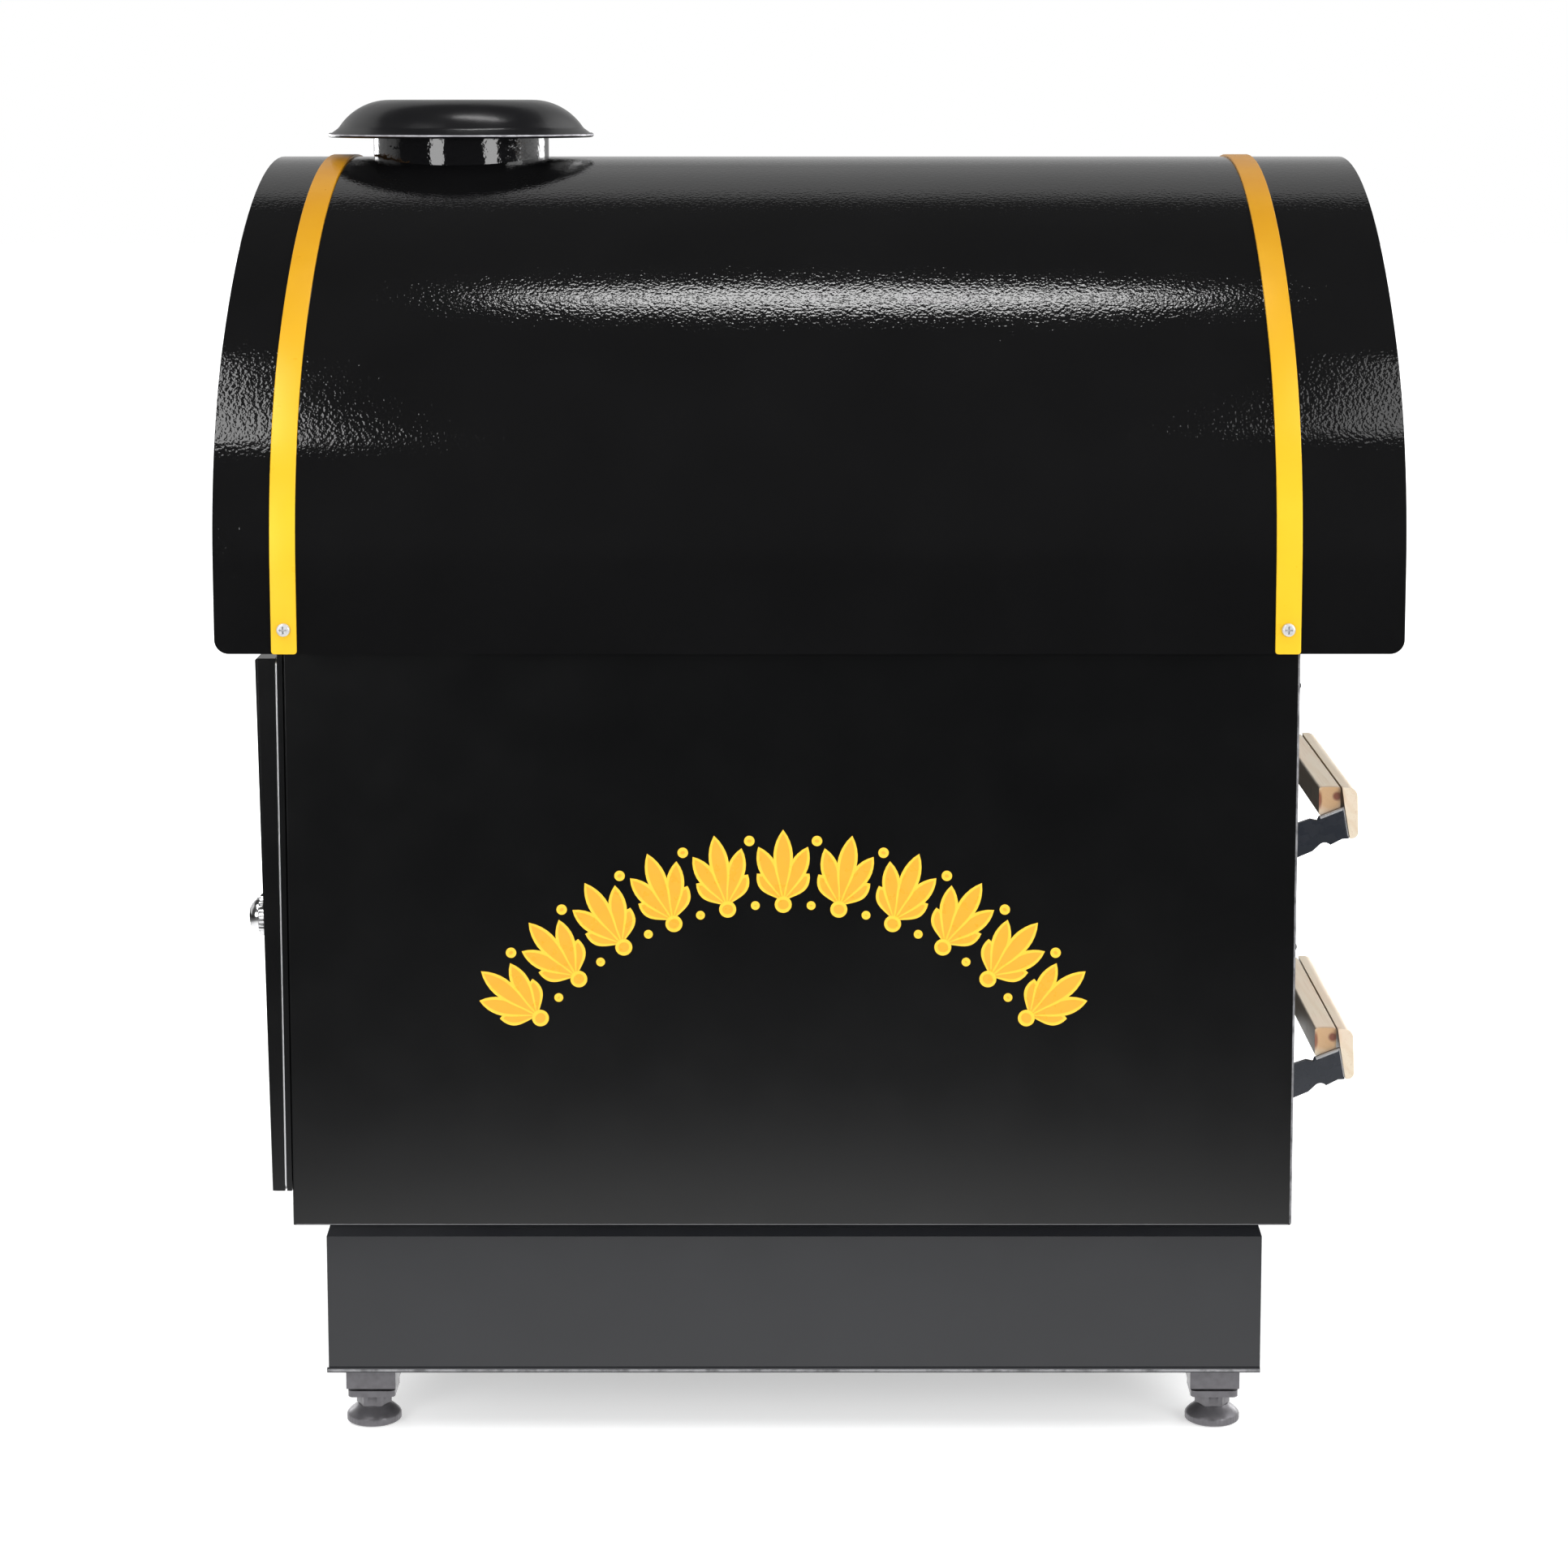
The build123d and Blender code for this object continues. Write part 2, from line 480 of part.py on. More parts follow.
with BuildPart() as control_panel:
    with BuildSketch(Plane.XZ.offset(-END_WALL_HALF)):
        Polygon(*plinth_section(PLINTH_X[1]), align=None)
    extrude(amount=2 * END_WALL_HALF)
    cut_x = (PLINTH_X[1] - 3, PLINTH_X[1] + 3)
    for knob_y in KNOB_YS.values():
        rod_x(cut_x, knob_y, CONTROL_Z, 4.2, Mode.SUBTRACT)
    for rocker_y in ROCKER_YS.values():
        block(cut_x, (rocker_y - 10.2, rocker_y + 10.2), (CONTROL_Z - 13.7, CONTROL_Z + 13.7), Mode.SUBTRACT)
        rod_x(cut_x, rocker_y, PILOT_Z, PILOT_RADII[0] + SEAM, Mode.SUBTRACT)
finish(control_panel, "control_panel")

with BuildPart() as base_plate:
    block((PLINTH_X[0] + SHEET + SEAM, PLINTH_X[1] - SHEET - SEAM),
          (-PLINTH_HALF_WIDTH + SHEET + SEAM, PLINTH_HALF_WIDTH - SHEET - SEAM),
          (PLINTH_BOTTOM_Z, PLINTH_BOTTOM_Z + SHEET))
    for foot_x in FOOT_XS:
        for foot_y in (-FOOT_Y, FOOT_Y):
            rod_z(foot_x, foot_y, (30, 40), FOOT_STUD_RADIUS + 0.5, Mode.SUBTRACT)
finish(base_plate, "base_plate")

with BuildPart() as foot_plates:
    half_block = FOOT_BLOCK / 2
    for foot_x in FOOT_XS:
        for foot_y in (-FOOT_Y, FOOT_Y):
            block((foot_x - half_block, foot_x + half_block), (foot_y - half_block, foot_y + half_block),
                  (FOOT_NUT_Z[1] + FOOT_WASHER[1], PLINTH_BOTTOM_Z))
            rod_z(foot_x, foot_y, (FOOT_NUT_Z[1], FOOT_NUT_Z[1] + FOOT_WASHER[1]), FOOT_WASHER[0])
            with BuildSketch(Plane.XY.offset(FOOT_NUT_Z[0])):
                with Locations((foot_x, foot_y)):
                    RectangleRounded(FOOT_BLOCK - 1, FOOT_BLOCK - 1, 3)
            extrude(amount=FOOT_NUT_Z[1] - FOOT_NUT_Z[0])
            rod_z(foot_x, foot_y, (10, 40), FOOT_STUD_RADIUS + SPINDLE_CLEARANCE, Mode.SUBTRACT)
finish(foot_plates, "foot_plates")


# --- Oven lining, heating and display fittings --------------------------------------------------
deck_x = (LINER_BACK_X, MOUTH_X - SEAM)
deck_y = (-MOUTH_HALF_WIDTH, MOUTH_HALF_WIDTH)
with BuildPart() as oven_decks:
    for deck_z in (119.0, 246.5, 250.0, 378.5):
        block(deck_x, deck_y, (deck_z, deck_z + LINER_SHEET))
finish(oven_decks, "oven_decks")

with BuildPart() as casing_floor:
    floor_y = (-BODY_HALF_WIDTH + RETURN_WIDTH + SEAM, BODY_HALF_WIDTH - RETURN_WIDTH - SEAM)
    block((BODY_LEFT_X, MOUTH_X - SEAM), floor_y, (BODY_BOTTOM_Z, BODY_BOTTOM_Z + SHEET))
    block((BODY_LEFT_X, BODY_LEFT_X + SHEET), floor_y, (BODY_BOTTOM_Z, COVER_BOTTOM_Z + 20))
finish(casing_floor, "casing_floor")

liner_z = (119.0, 379.5)
with BuildPart() as liner_walls:
    for side in (-1, 1):
        block(deck_x, on_side(side, MOUTH_HALF_WIDTH + SEAM, MOUTH_HALF_WIDTH + SEAM + LINER_SHEET), liner_z)
    back_half = MOUTH_HALF_WIDTH + SEAM + LINER_SHEET
    block((LINER_BACK_X - SEAM - LINER_SHEET, LINER_BACK_X - SEAM), (-back_half, back_half), liner_z)
finish(liner_walls, "liner_walls")

with BuildPart() as insulation:
    for side in (-1, 1):
        block((-227, 216), on_side(side, 221, 249.5), (116, 402))
    block((-255, -230.5), (-236, 236), (116, 398))
    block((-227, 216), (-218, 218), (380.5, 402))
finish(insulation, "insulation")

ELEMENT_LEG_YS = (-150, -90, -30, 30, 90, 150)
ELEMENT_END_XS = (-190, 175)
with BuildPart() as heating_elements:
    for element_z in ELEMENT_ZS:
        legs = [(LINER_BACK_X + 0.5, ELEMENT_LEG_YS[0])]
        for n, leg_y in enumerate(ELEMENT_LEG_YS[:-1]):
            turn_x = ELEMENT_END_XS[1 - n % 2]
            legs += [(turn_x, leg_y), (turn_x, ELEMENT_LEG_YS[n + 1])]
        legs.append((LINER_BACK_X + 0.5, ELEMENT_LEG_YS[-1]))
        with BuildLine(Plane.XY.offset(element_z)) as route:
            FilletPolyline(*legs, radius=28)
        with BuildSketch(Plane(origin=route.line @ 0, z_dir=route.line % 0)):
            Circle(ELEMENT_RADIUS)
        sweep(path=route.line)
finish(heating_elements, "heating_elements")

with BuildPart() as rack_runners:
    for runner_z in RUNNER_ZS:
        for side in (-1, 1):
            block((-215, 205), on_side(side, 207, MOUTH_HALF_WIDTH), (runner_z - SHEET, runner_z))
            block((-215, 205), on_side(side, MOUTH_HALF_WIDTH - SHEET, MOUTH_HALF_WIDTH),
                  (runner_z - 12, runner_z))
finish(rack_runners, "rack_runners")

RACK_HALF_LENGTH = 207.0
RACK_HALF_WIDTH = 211.0
CROSS_WIRE_PITCH = 26.0
with BuildPart() as wire_racks:
    for runner_z in RUNNER_ZS:
        wire_z = runner_z + RACK_WIRE_RADIUS
        with BuildLine(Plane.XY.offset(wire_z)) as rim:
            corner = [(x - 5, y) for x, y in ((-RACK_HALF_LENGTH, -RACK_HALF_WIDTH),
                      (RACK_HALF_LENGTH, -RACK_HALF_WIDTH), (RACK_HALF_LENGTH, RACK_HALF_WIDTH),
                      (-RACK_HALF_LENGTH, RACK_HALF_WIDTH))]
            FilletPolyline(*corner, radius=14, close=True)
        with BuildSketch(Plane(origin=rim.line @ 0, z_dir=rim.line % 0)):
            Circle(RACK_WIRE_RADIUS)
        sweep(path=rim.line)
        for n in range(-7, 8):
            rod_x((-RACK_HALF_LENGTH - 5, RACK_HALF_LENGTH - 5), n * CROSS_WIRE_PITCH, wire_z, 2.0)
        for stay_x in (-110, 100):
            rod_y(stay_x, (-RACK_HALF_WIDTH, RACK_HALF_WIDTH), wire_z - 1.0, 2.0)
finish(wire_racks, "wire_racks")

with BuildPart() as display_floor:
    block((FRAME_BACK_X + SEAM, MOUTH_X - SEAM),
          (-BODY_HALF_WIDTH + SHEET + SEAM, BODY_HALF_WIDTH - SHEET - SEAM),
          (DISPLAY_FLOOR_Z - SHEET, DISPLAY_FLOOR_Z))
finish(display_floor, "display_floor")

with BuildPart() as display_tray:
    block((-238, 212), (-205, 205), (DISPLAY_FLOOR_Z, TRAY_TOP_Z))
    block((-237, 211), (-204, 204), (DISPLAY_FLOOR_Z, TRAY_TOP_Z - 1), Mode.SUBTRACT)
    with BuildSketch(Plane.XY.offset(TRAY_TOP_Z - 2)):
        with GridLocations(62, 40, 7, 10):
            SlotOverall(46, 8)
    extrude(amount=4, mode=Mode.SUBTRACT)
finish(display_tray, "display_tray")

LAMP_X = (-100.0, 200.0)
LAMP_Z = 604.0
with BuildPart() as lamp_holder:
    block((LAMP_X[0] - 12, LAMP_X[1] + 12), (-14, 14), (620, 634))
    for socket_x in ((LAMP_X[0] - 12, LAMP_X[0]), (LAMP_X[1], LAMP_X[1] + 12)):
        block(socket_x, (-11, 11), (LAMP_Z - 11, 620))
finish(lamp_holder, "lamp_holder")

with BuildPart() as lamp_tube:
    rod_x((LAMP_X[0] + SEAM, LAMP_X[1] - SEAM), 0, LAMP_Z, 8)
    fillet(lamp_tube.edges().filter_by(GeomType.CIRCLE), 1.5)
finish(lamp_tube, "lamp_tube")


# --- Controls -----------------------------------------------------------------------------------
BEHIND_PANEL_X = PLINTH_X[1] - SHEET - SEAM


def control_body(y, depth, half_size):
    """Thermostat or timer behind the control panel, with a bearing for the knob's spindle."""
    with BuildPart() as body:
        block((BEHIND_PANEL_X - depth, BEHIND_PANEL_X), (y - half_size, y + half_size),
              (CONTROL_Z - half_size, CONTROL_Z + half_size))
        fillet(body.edges().filter_by(Axis.X), 3)
        rod_x((BEHIND_PANEL_X - 16, BEHIND_PANEL_X + 1), y, CONTROL_Z,
              SPINDLE_RADIUS + SPINDLE_CLEARANCE, Mode.SUBTRACT)
    return body


finish(control_body(KNOB_YS["thermostat"], 34, 19), "thermostat_body")
finish(control_body(KNOB_YS["timer"], 46, 21), "timer_body")


def knob(y):
    """Round knob with a raised grip bar, on a spindle that turns in the control behind it."""
    skirt_x = PLINTH_X[1] + 0.6
    with BuildPart() as turned:
        rod_x((skirt_x, skirt_x + 4), y, CONTROL_Z, KNOB_RADIUS)
        rod_x((skirt_x + 4, skirt_x + 10), y, CONTROL_Z, KNOB_RADIUS - 3)
        fillet(turned.edges().filter_by(GeomType.CIRCLE).group_by(Axis.X)[-1], 1.5)
        with BuildSketch(Plane.YZ.offset(skirt_x + 4)):
            with Locations((y, CONTROL_Z)):
                SlotOverall(2 * KNOB_RADIUS - 5, 9, rotation=90)
        extrude(amount=KNOB_TIP_X - skirt_x - 4)
        rod_x((BEHIND_PANEL_X - 15, skirt_x), y, CONTROL_Z, SPINDLE_RADIUS)
    return turned


for control, knob_y in KNOB_YS.items():
    finish(knob(knob_y), f"{control}_knob")

with BuildPart() as switch_frames:
    for rocker_y in ROCKER_YS.values():
        block((PLINTH_X[1], PLINTH_X[1] + 1.8), (rocker_y - 12, rocker_y + 12),
              (CONTROL_Z - 16, CONTROL_Z + 16))
        block((204, PLINTH_X[1]), (rocker_y - 10, rocker_y + 10), (CONTROL_Z - 13.5, CONTROL_Z + 13.5))
        block((210, 240), (rocker_y - 7.3, rocker_y + 7.3), (CONTROL_Z - 10.6, CONTROL_Z + 10.6),
              Mode.SUBTRACT)
        rod_y(ROCKER_PIVOT_X, (rocker_y - 8.8, rocker_y + 8.8), CONTROL_Z,
              1.5 + SPINDLE_CLEARANCE, Mode.SUBTRACT)
finish(switch_frames, "switch_frames")


def rocker(y):
    """Rocker paddle at rest with its lower half pressed in, turning on two stub pins."""
    radius = 9.9
    tilted = Plane(origin=(ROCKER_PIVOT_X, y + 6.9, CONTROL_Z),
                   x_dir=Vector(1, 0, 0).rotate(Axis.Y, ROCKER_TILT), z_dir=(0, -1, 0))
    with BuildPart() as paddle:
        with BuildSketch(tilted):
            Circle(radius)
            with Locations((-radius, 0)):
                Rectangle(radius, 3 * radius, mode=Mode.SUBTRACT)
            Polygon((4.2, 0), (5.8, 8.0), (radius, 8.0), (radius, -8.0), (5.8, -8.0), align=None,
                    mode=Mode.SUBTRACT)
        extrude(amount=13.8)
        rod_y(ROCKER_PIVOT_X, (y - 8.6, y + 8.6), CONTROL_Z, 1.5)
    return paddle


for switch, rocker_y in ROCKER_YS.items():
    finish(rocker(rocker_y), f"{switch}_rocker")

with BuildPart() as pilot_lamps:
    for rocker_y in ROCKER_YS.values():
        rod_x((PLINTH_X[1] - 11.6, PLINTH_X[1]), rocker_y, PILOT_Z, PILOT_RADII[0])
        rod_x((PLINTH_X[1], PLINTH_X[1] + 3), rocker_y, PILOT_Z, PILOT_RADII[1])
    fillet(pilot_lamps.edges().filter_by(GeomType.CIRCLE).group_by(Axis.X)[-1], 2.0)
finish(pilot_lamps, "pilot_lamps")

with BuildPart() as terminal_block:
    base_top = PLINTH_BOTTOM_Z + SHEET
    block((-205, -165), (130, 172), (base_top, base_top + 18))
    for n in range(3):
        block((-205, -165), (136 + 13 * n, 140 + 13 * n), (base_top + 12, base_top + 18), Mode.SUBTRACT)
finish(terminal_block, "terminal_block")

with BuildPart() as cable_gland:
    gland_wall = PLINTH_X[0]
    rod_x((gland_wall, gland_wall - 4), GLAND_Y, GLAND_Z, 11)
    rod_x((gland_wall - 4, gland_wall - 13), GLAND_Y, GLAND_Z, 9)
    rod_x((gland_wall, gland_wall + 12), GLAND_Y, GLAND_Z, 8)
    rod_x((gland_wall - 20, gland_wall + 20), GLAND_Y, GLAND_Z, 4.2, Mode.SUBTRACT)
finish(cable_gland, "cable_gland")


# --- Doors --------------------------------------------------------------------------------------
HINGE_YS = (-HINGE_CENTRE_Y, HINGE_CENTRE_Y)
KNUCKLE = HINGE_LENGTH / 3


def fixed_knuckles(centre_y):
    """Y spans of the two outer knuckles of a hinge, which stay on the casing."""
    return ((centre_y - 1.5 * KNUCKLE, centre_y - 0.5 * KNUCKLE),
            (centre_y + 0.5 * KNUCKLE, centre_y + 1.5 * KNUCKLE))


def moving_knuckle(centre_y):
    """Y span of the middle knuckle of a hinge, which turns with the door."""
    return (centre_y - 0.5 * KNUCKLE + JOINT_GAP, centre_y + 0.5 * KNUCKLE - JOINT_GAP)


def pin_z(door_bottom):
    """Height of the hinge pins of the door whose lower edge is at door_bottom."""
    return door_bottom + DOOR_HEIGHT + HINGE_ABOVE_DOOR


door_bottoms = {"lower": LOWER_DOOR_Z, "upper": LOWER_DOOR_Z + DOOR_PITCH}
with BuildPart() as hinge_leaves:
    for name, leaf_height in (("lower", 4.3), ("upper", 14.0)):
        axis_z = pin_z(door_bottoms[name])
        for centre_y in HINGE_YS:
            leaf_x = (BODY_RIGHT_X, BODY_RIGHT_X + HINGE_LEAF)
            hinge_y = (centre_y - HINGE_LENGTH / 2, centre_y + HINGE_LENGTH / 2)
            block(leaf_x, hinge_y, (axis_z + HINGE_BARREL_RADIUS + JOINT_GAP, axis_z + leaf_height))
            for knuckle_y in fixed_knuckles(centre_y):
                rod_y(HINGE_X, knuckle_y, axis_z, HINGE_BARREL_RADIUS)
                block(leaf_x, knuckle_y, (axis_z, axis_z + leaf_height))
            rod_y(HINGE_X, hinge_y, axis_z, HINGE_PIN_RADIUS + 0.02, Mode.SUBTRACT)
finish(hinge_leaves, "hinge_leaves")

with BuildPart() as hinge_pins:
    for door_bottom in door_bottoms.values():
        for centre_y in HINGE_YS:
            rod_y(HINGE_X, (centre_y - HINGE_LENGTH / 2 - 0.5, centre_y + HINGE_LENGTH / 2 + 0.5),
                  pin_z(door_bottom), HINGE_PIN_RADIUS)
finish(hinge_pins, "hinge_pins")


def door_hinge(bottom):
    """Moving leaves of a door's two hinges, screwed to the front of its skin."""
    axis_z = pin_z(bottom)
    with BuildPart() as leaves:
        for centre_y in HINGE_YS:
            leaf_x = (DOOR_FRONT_X, DOOR_FRONT_X + HINGE_LEAF)
            hinge_y = (centre_y - HINGE_LENGTH / 2, centre_y + HINGE_LENGTH / 2)
            block(leaf_x, hinge_y, (axis_z - 15, axis_z - HINGE_BARREL_RADIUS - JOINT_GAP))
            block(leaf_x, moving_knuckle(centre_y), (axis_z - 15, axis_z))
            rod_y(HINGE_X, moving_knuckle(centre_y), axis_z, HINGE_BARREL_RADIUS)
            rod_y(HINGE_X, hinge_y, axis_z, HINGE_PIN_RADIUS + 0.06, Mode.SUBTRACT)
    return leaves


def door_skin(bottom):
    """Folded outer pan of a door, open to the oven."""
    with BuildPart() as skin:
        block((DOOR_WALL_X + SHEET, DOOR_FRONT_X), (-DOOR_HALF_WIDTH, DOOR_HALF_WIDTH),
              (bottom, bottom + DOOR_HEIGHT))
        fillet(skin.edges().group_by(Axis.X)[-1], 1.0)
        block((DOOR_WALL_X, DOOR_FRONT_X - SHEET),
              (-DOOR_HALF_WIDTH + SHEET, DOOR_HALF_WIDTH - SHEET),
              (bottom + SHEET, bottom + DOOR_HEIGHT - SHEET), Mode.SUBTRACT)
    return skin


def door_liner(bottom):
    """Steel inner pan that closes the back of a door, with a shallow raised panel."""
    half = DOOR_HALF_WIDTH - SHEET - SEAM
    low, high = bottom + SHEET + SEAM, bottom + DOOR_HEIGHT - SHEET - SEAM
    with BuildPart() as liner:
        block((DOOR_WALL_X + SHEET, DOOR_WALL_X + 2 * SHEET), (-half, half), (low, high))
        block((DOOR_WALL_X + 2 * SHEET, DOOR_WALL_X + 9), (-half, half), (low, high))
        block((DOOR_WALL_X + 2 * SHEET, DOOR_WALL_X + 9.5), (-half + SHEET, half - SHEET),
              (low + SHEET, high - SHEET), Mode.SUBTRACT)
    return liner


def handle_brackets(bottom):
    """The two bent steel arms that carry a door's wooden grip."""
    foot = DOOR_FRONT_X
    arm_end = BODY_RIGHT_X + 48.6
    with BuildPart() as brackets:
        for side in (-1, 1):
            arm_y = GRIP_HALF_LENGTH if side < 0 else -GRIP_HALF_LENGTH + GRIP_PLATE
            with BuildSketch(Plane.XZ.offset(arm_y)):
                with BuildLine():
                    lower = Polyline((foot, bottom + 2), (foot + 29, bottom + 14.5),
                                     (foot + 33, bottom + 18.3))
                    dip = RadiusArc(lower @ 1, (foot + 38.5, bottom + 17.9), 4)
                    Polyline(dip @ 1, (arm_end - 2.2, bottom + 21.2), (arm_end + 1.6, bottom + 21.4),
                             (arm_end - 1.4, bottom + 38.6), (foot + 32.2, bottom + 33.2),
                             (foot + 31.4, bottom + 31.2), (foot + 27.5, bottom + 32.0),
                             (foot + 20, bottom + 29.4), (foot, bottom + 22), (foot, bottom + 2))
                make_face()
            extrude(amount=-GRIP_PLATE)
        folds = brackets.edges().filter_by(lambda e: abs(e.center().Y) > GRIP_HALF_LENGTH - 0.01
                                           and e.center().X > foot + 34 and e.center().Z > bottom + 25)
        fillet(folds, GRIP_FOLD_RADIUS)
        for side in (-1, 1):
            inner_y = (-GRIP_HALF_LENGTH + GRIP_PLATE, -GRIP_HALF_LENGTH + 22)
            block((foot, foot + 2), [-side * y for y in inner_y], (bottom + 2, bottom + 22))
            block((arm_end - 4.4, arm_end - 1.9), [-side * y for y in inner_y],
                  (bottom + 22, bottom + 32.6))
    return brackets


def handle_grip(bottom):
    """Two wooden slats: the long outer one and the one behind it between the bracket arms."""
    low, high = (bottom + height for height in GRIP_HEIGHTS)
    face = BODY_RIGHT_X + 46.0
    with BuildPart() as grip:
        with BuildSketch(Plane.XZ.offset(-GRIP_HALF_LENGTH)):
            with BuildLine():
                Polyline((face, high), (face + 1.4, high - 9.8), (face + 4.5, low), (face + 9.2, low),
                         (face + 8.2, high), (face, high))
            make_face()
        extrude(amount=2 * GRIP_HALF_LENGTH)
        long_edges = grip.edges().filter_by(Axis.Y)
        top_front = long_edges.filter_by(lambda e: e.center().X > face + 8).sort_by(Axis.Z)[-1]
        fillet(top_front, 5.0)
        fillet(grip.edges().filter_by(Axis.Y).sort_by(Axis.X)[-1], 3.4)
        inner_half = GRIP_HALF_LENGTH - GRIP_PLATE - SEAM
        block(INNER_SLAT_X, (-inner_half, inner_half), [bottom + height for height in INNER_SLAT_HEIGHTS])
        fillet(grip.edges().filter_by(Axis.Y).filter_by(
            lambda e: e.center().X < INNER_SLAT_X[1] + SEAM), 1.0)
    return grip


for name, door_bottom in door_bottoms.items():
    finish(door_hinge(door_bottom), f"{name}_door_hinge")
    finish(door_skin(door_bottom), f"{name}_door_skin")
    finish(door_liner(door_bottom), f"{name}_door_liner")
    finish(handle_brackets(door_bottom), f"{name}_handle_brackets")
    finish(handle_grip(door_bottom), f"{name}_handle_grip")


# --- Sliding display panes ----------------------------------------------------------------------
def pane(glass_x, y, pull_y, pull_out):
    """One sliding pane with a ground finger strip along its outer edge."""
    glass = (glass_x - PANE_THICKNESS / 2, glass_x + PANE_THICKNESS / 2)
    with BuildPart() as sheet:
        block(glass, y, PANE_Z)
        fillet(sheet.edges().filter_by(Axis.X), 2)
        block((glass[1], glass[1] + pull_out), pull_y, (455, 515))
    return sheet


finish(pane(FRONT_PANE_X, (-PANE_OUTER_Y, PANE_OVERLAP), (-180, -172), 1.5), "near_pane")
finish(pane(REAR_PANE_X, (-PANE_OVERLAP, PANE_OUTER_Y), (172, 180), 1.5), "far_pane")


# --- Levelling feet -----------------------------------------------------------------------------
def foot(x, y):
    """Levelling foot: a domed disc with a hexagon and a threaded stud."""
    with BuildPart() as leveller:
        with BuildSketch(Plane.XZ):
            with BuildLine():
                under = Polyline((0, 0), (FOOT_RADIUS - 0.8, 0), (FOOT_RADIUS, 0.8), (FOOT_RADIUS, 3.6))
                dome = RadiusArc(under @ 1, (FOOT_HEXAGON, FOOT_HEIGHT), -FOOT_HEIGHT)
                Polyline(dome @ 1, (0, FOOT_HEIGHT), (0, 0))
            make_face()
        revolve(axis=Axis.Z)
        with BuildSketch(Plane.XY.offset(FOOT_HEIGHT - 1)):
            RegularPolygon(FOOT_HEXAGON, 6, major_radius=False)
        extrude(amount=FOOT_NUT_Z[0] - JOINT_GAP - FOOT_HEIGHT + 1)
        rod_z(0, 0, (FOOT_HEIGHT, FOOT_STUD_TOP_Z), FOOT_STUD_RADIUS)
        chamfer(leveller.edges().filter_by(GeomType.CIRCLE).sort_by(Axis.Z)[-1], 1)
    leveller.part = leveller.part.moved(Location((x, y, 0)))
    return leveller


for end, foot_x in (("rear", FOOT_XS[0]), ("front", FOOT_XS[1])):
    for side, foot_y in (("near", -FOOT_Y), ("far", FOOT_Y)):
        finish(foot(foot_x, foot_y), f"{end}_{side}_foot")
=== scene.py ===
import math

import bmesh
import bpy
from mathutils import Matrix, Vector


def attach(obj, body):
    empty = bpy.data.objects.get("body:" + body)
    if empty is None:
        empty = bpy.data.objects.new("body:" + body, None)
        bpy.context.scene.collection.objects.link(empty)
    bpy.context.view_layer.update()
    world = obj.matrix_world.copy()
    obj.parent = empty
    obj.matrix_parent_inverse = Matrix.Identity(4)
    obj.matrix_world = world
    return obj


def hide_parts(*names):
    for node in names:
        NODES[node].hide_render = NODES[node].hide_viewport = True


# Baked potato oven. +Z up, with the near side facing -Y and the doors facing +X.
# Lengths are in metres, except in the sections that say millimetres.

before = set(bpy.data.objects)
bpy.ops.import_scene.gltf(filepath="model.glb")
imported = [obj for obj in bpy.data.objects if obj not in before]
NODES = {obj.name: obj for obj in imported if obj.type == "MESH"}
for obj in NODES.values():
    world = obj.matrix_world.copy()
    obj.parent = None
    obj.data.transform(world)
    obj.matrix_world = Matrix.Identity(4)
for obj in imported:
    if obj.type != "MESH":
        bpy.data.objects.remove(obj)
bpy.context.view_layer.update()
MM = 0.001


# --- Camera, lamps and surroundings -------------------------------------------------------------
CAMERA_PLACE = (0.0093, -2.0014, 0.6742)
CAMERA_PITCH = 7.208          # degrees below level
CAMERA_LENS = 83.25
CAMERA_SHIFT = (-0.0284, -0.15)

# Brightness ramps of what gloss and glass see, over the direction looked in: from, to, and the values there
SHEET_TOP = (0.668, 0.705, 1.0, 0.0)
SHEET_BEHIND = (-0.15, 0.05, 0.0, 1.0)
SHEET_RIGHT = (0.3, 0.8, 0.36, 1.5)
SHEET_LEFT = (-0.8, -0.3, 0.30, 0.0)
HORIZON = (0.95, 1.00, 0.05, 0.25)

FLOOR_HALF = 14.0
FLOOR_DROP = 0.0002           # under the feet
# Brightness ramps of the floor: from, to, and the values there, in metres from its middle or towards +Y
FLOOR_SEEN = (0.40, 1.1, 0.44, 1.0)
FLOOR_MIRRORED = (0.34, 0.60, 1.50, 1.35)
FLOOR_FALLS = ((0.60, 0.86, 0.0, -1.19), (0.86, 1.60, 0.0, -0.14))
FLOOR_BACK = (2.0, 5.0, 0.0, 0.55)


def make_camera():
    data = bpy.data.cameras.new("camera")
    data.lens = CAMERA_LENS
    data.sensor_width = 36.0
    data.shift_x, data.shift_y = CAMERA_SHIFT
    data.clip_start, data.clip_end = 0.05, 100.0
    camera = bpy.data.objects.new("camera", data)
    camera.location = CAMERA_PLACE
    camera.rotation_euler = (math.radians(90 - CAMERA_PITCH), 0, 0)
    bpy.context.scene.collection.objects.link(camera)
    bpy.context.scene.camera = camera


def make_lamp(name, place, aim, size, watts, shape="RECTANGLE"):
    """A softbox at a place, facing a point."""
    data = bpy.data.lights.new(name, "AREA")
    data.shape = shape
    data.size, data.size_y = size
    data.energy = watts
    lamp = bpy.data.objects.new(name, data)
    lamp.location = place
    toward = Vector(aim) - Vector(place)
    lamp.rotation_euler = toward.to_track_quat("-Z", "Y").to_euler()
    bpy.context.scene.collection.objects.link(lamp)


def shade_range(nodes, links, source, low, high, to_low, to_high):
    """Map Range node between two values of a source, clamped at both ends."""
    node = nodes.new("ShaderNodeMapRange")
    for socket, value in (("From Min", low), ("From Max", high), ("To Min", to_low), ("To Max", to_high)):
        node.inputs[socket].default_value = value
    links.new(source, node.inputs["Value"])
    return node.outputs[0]


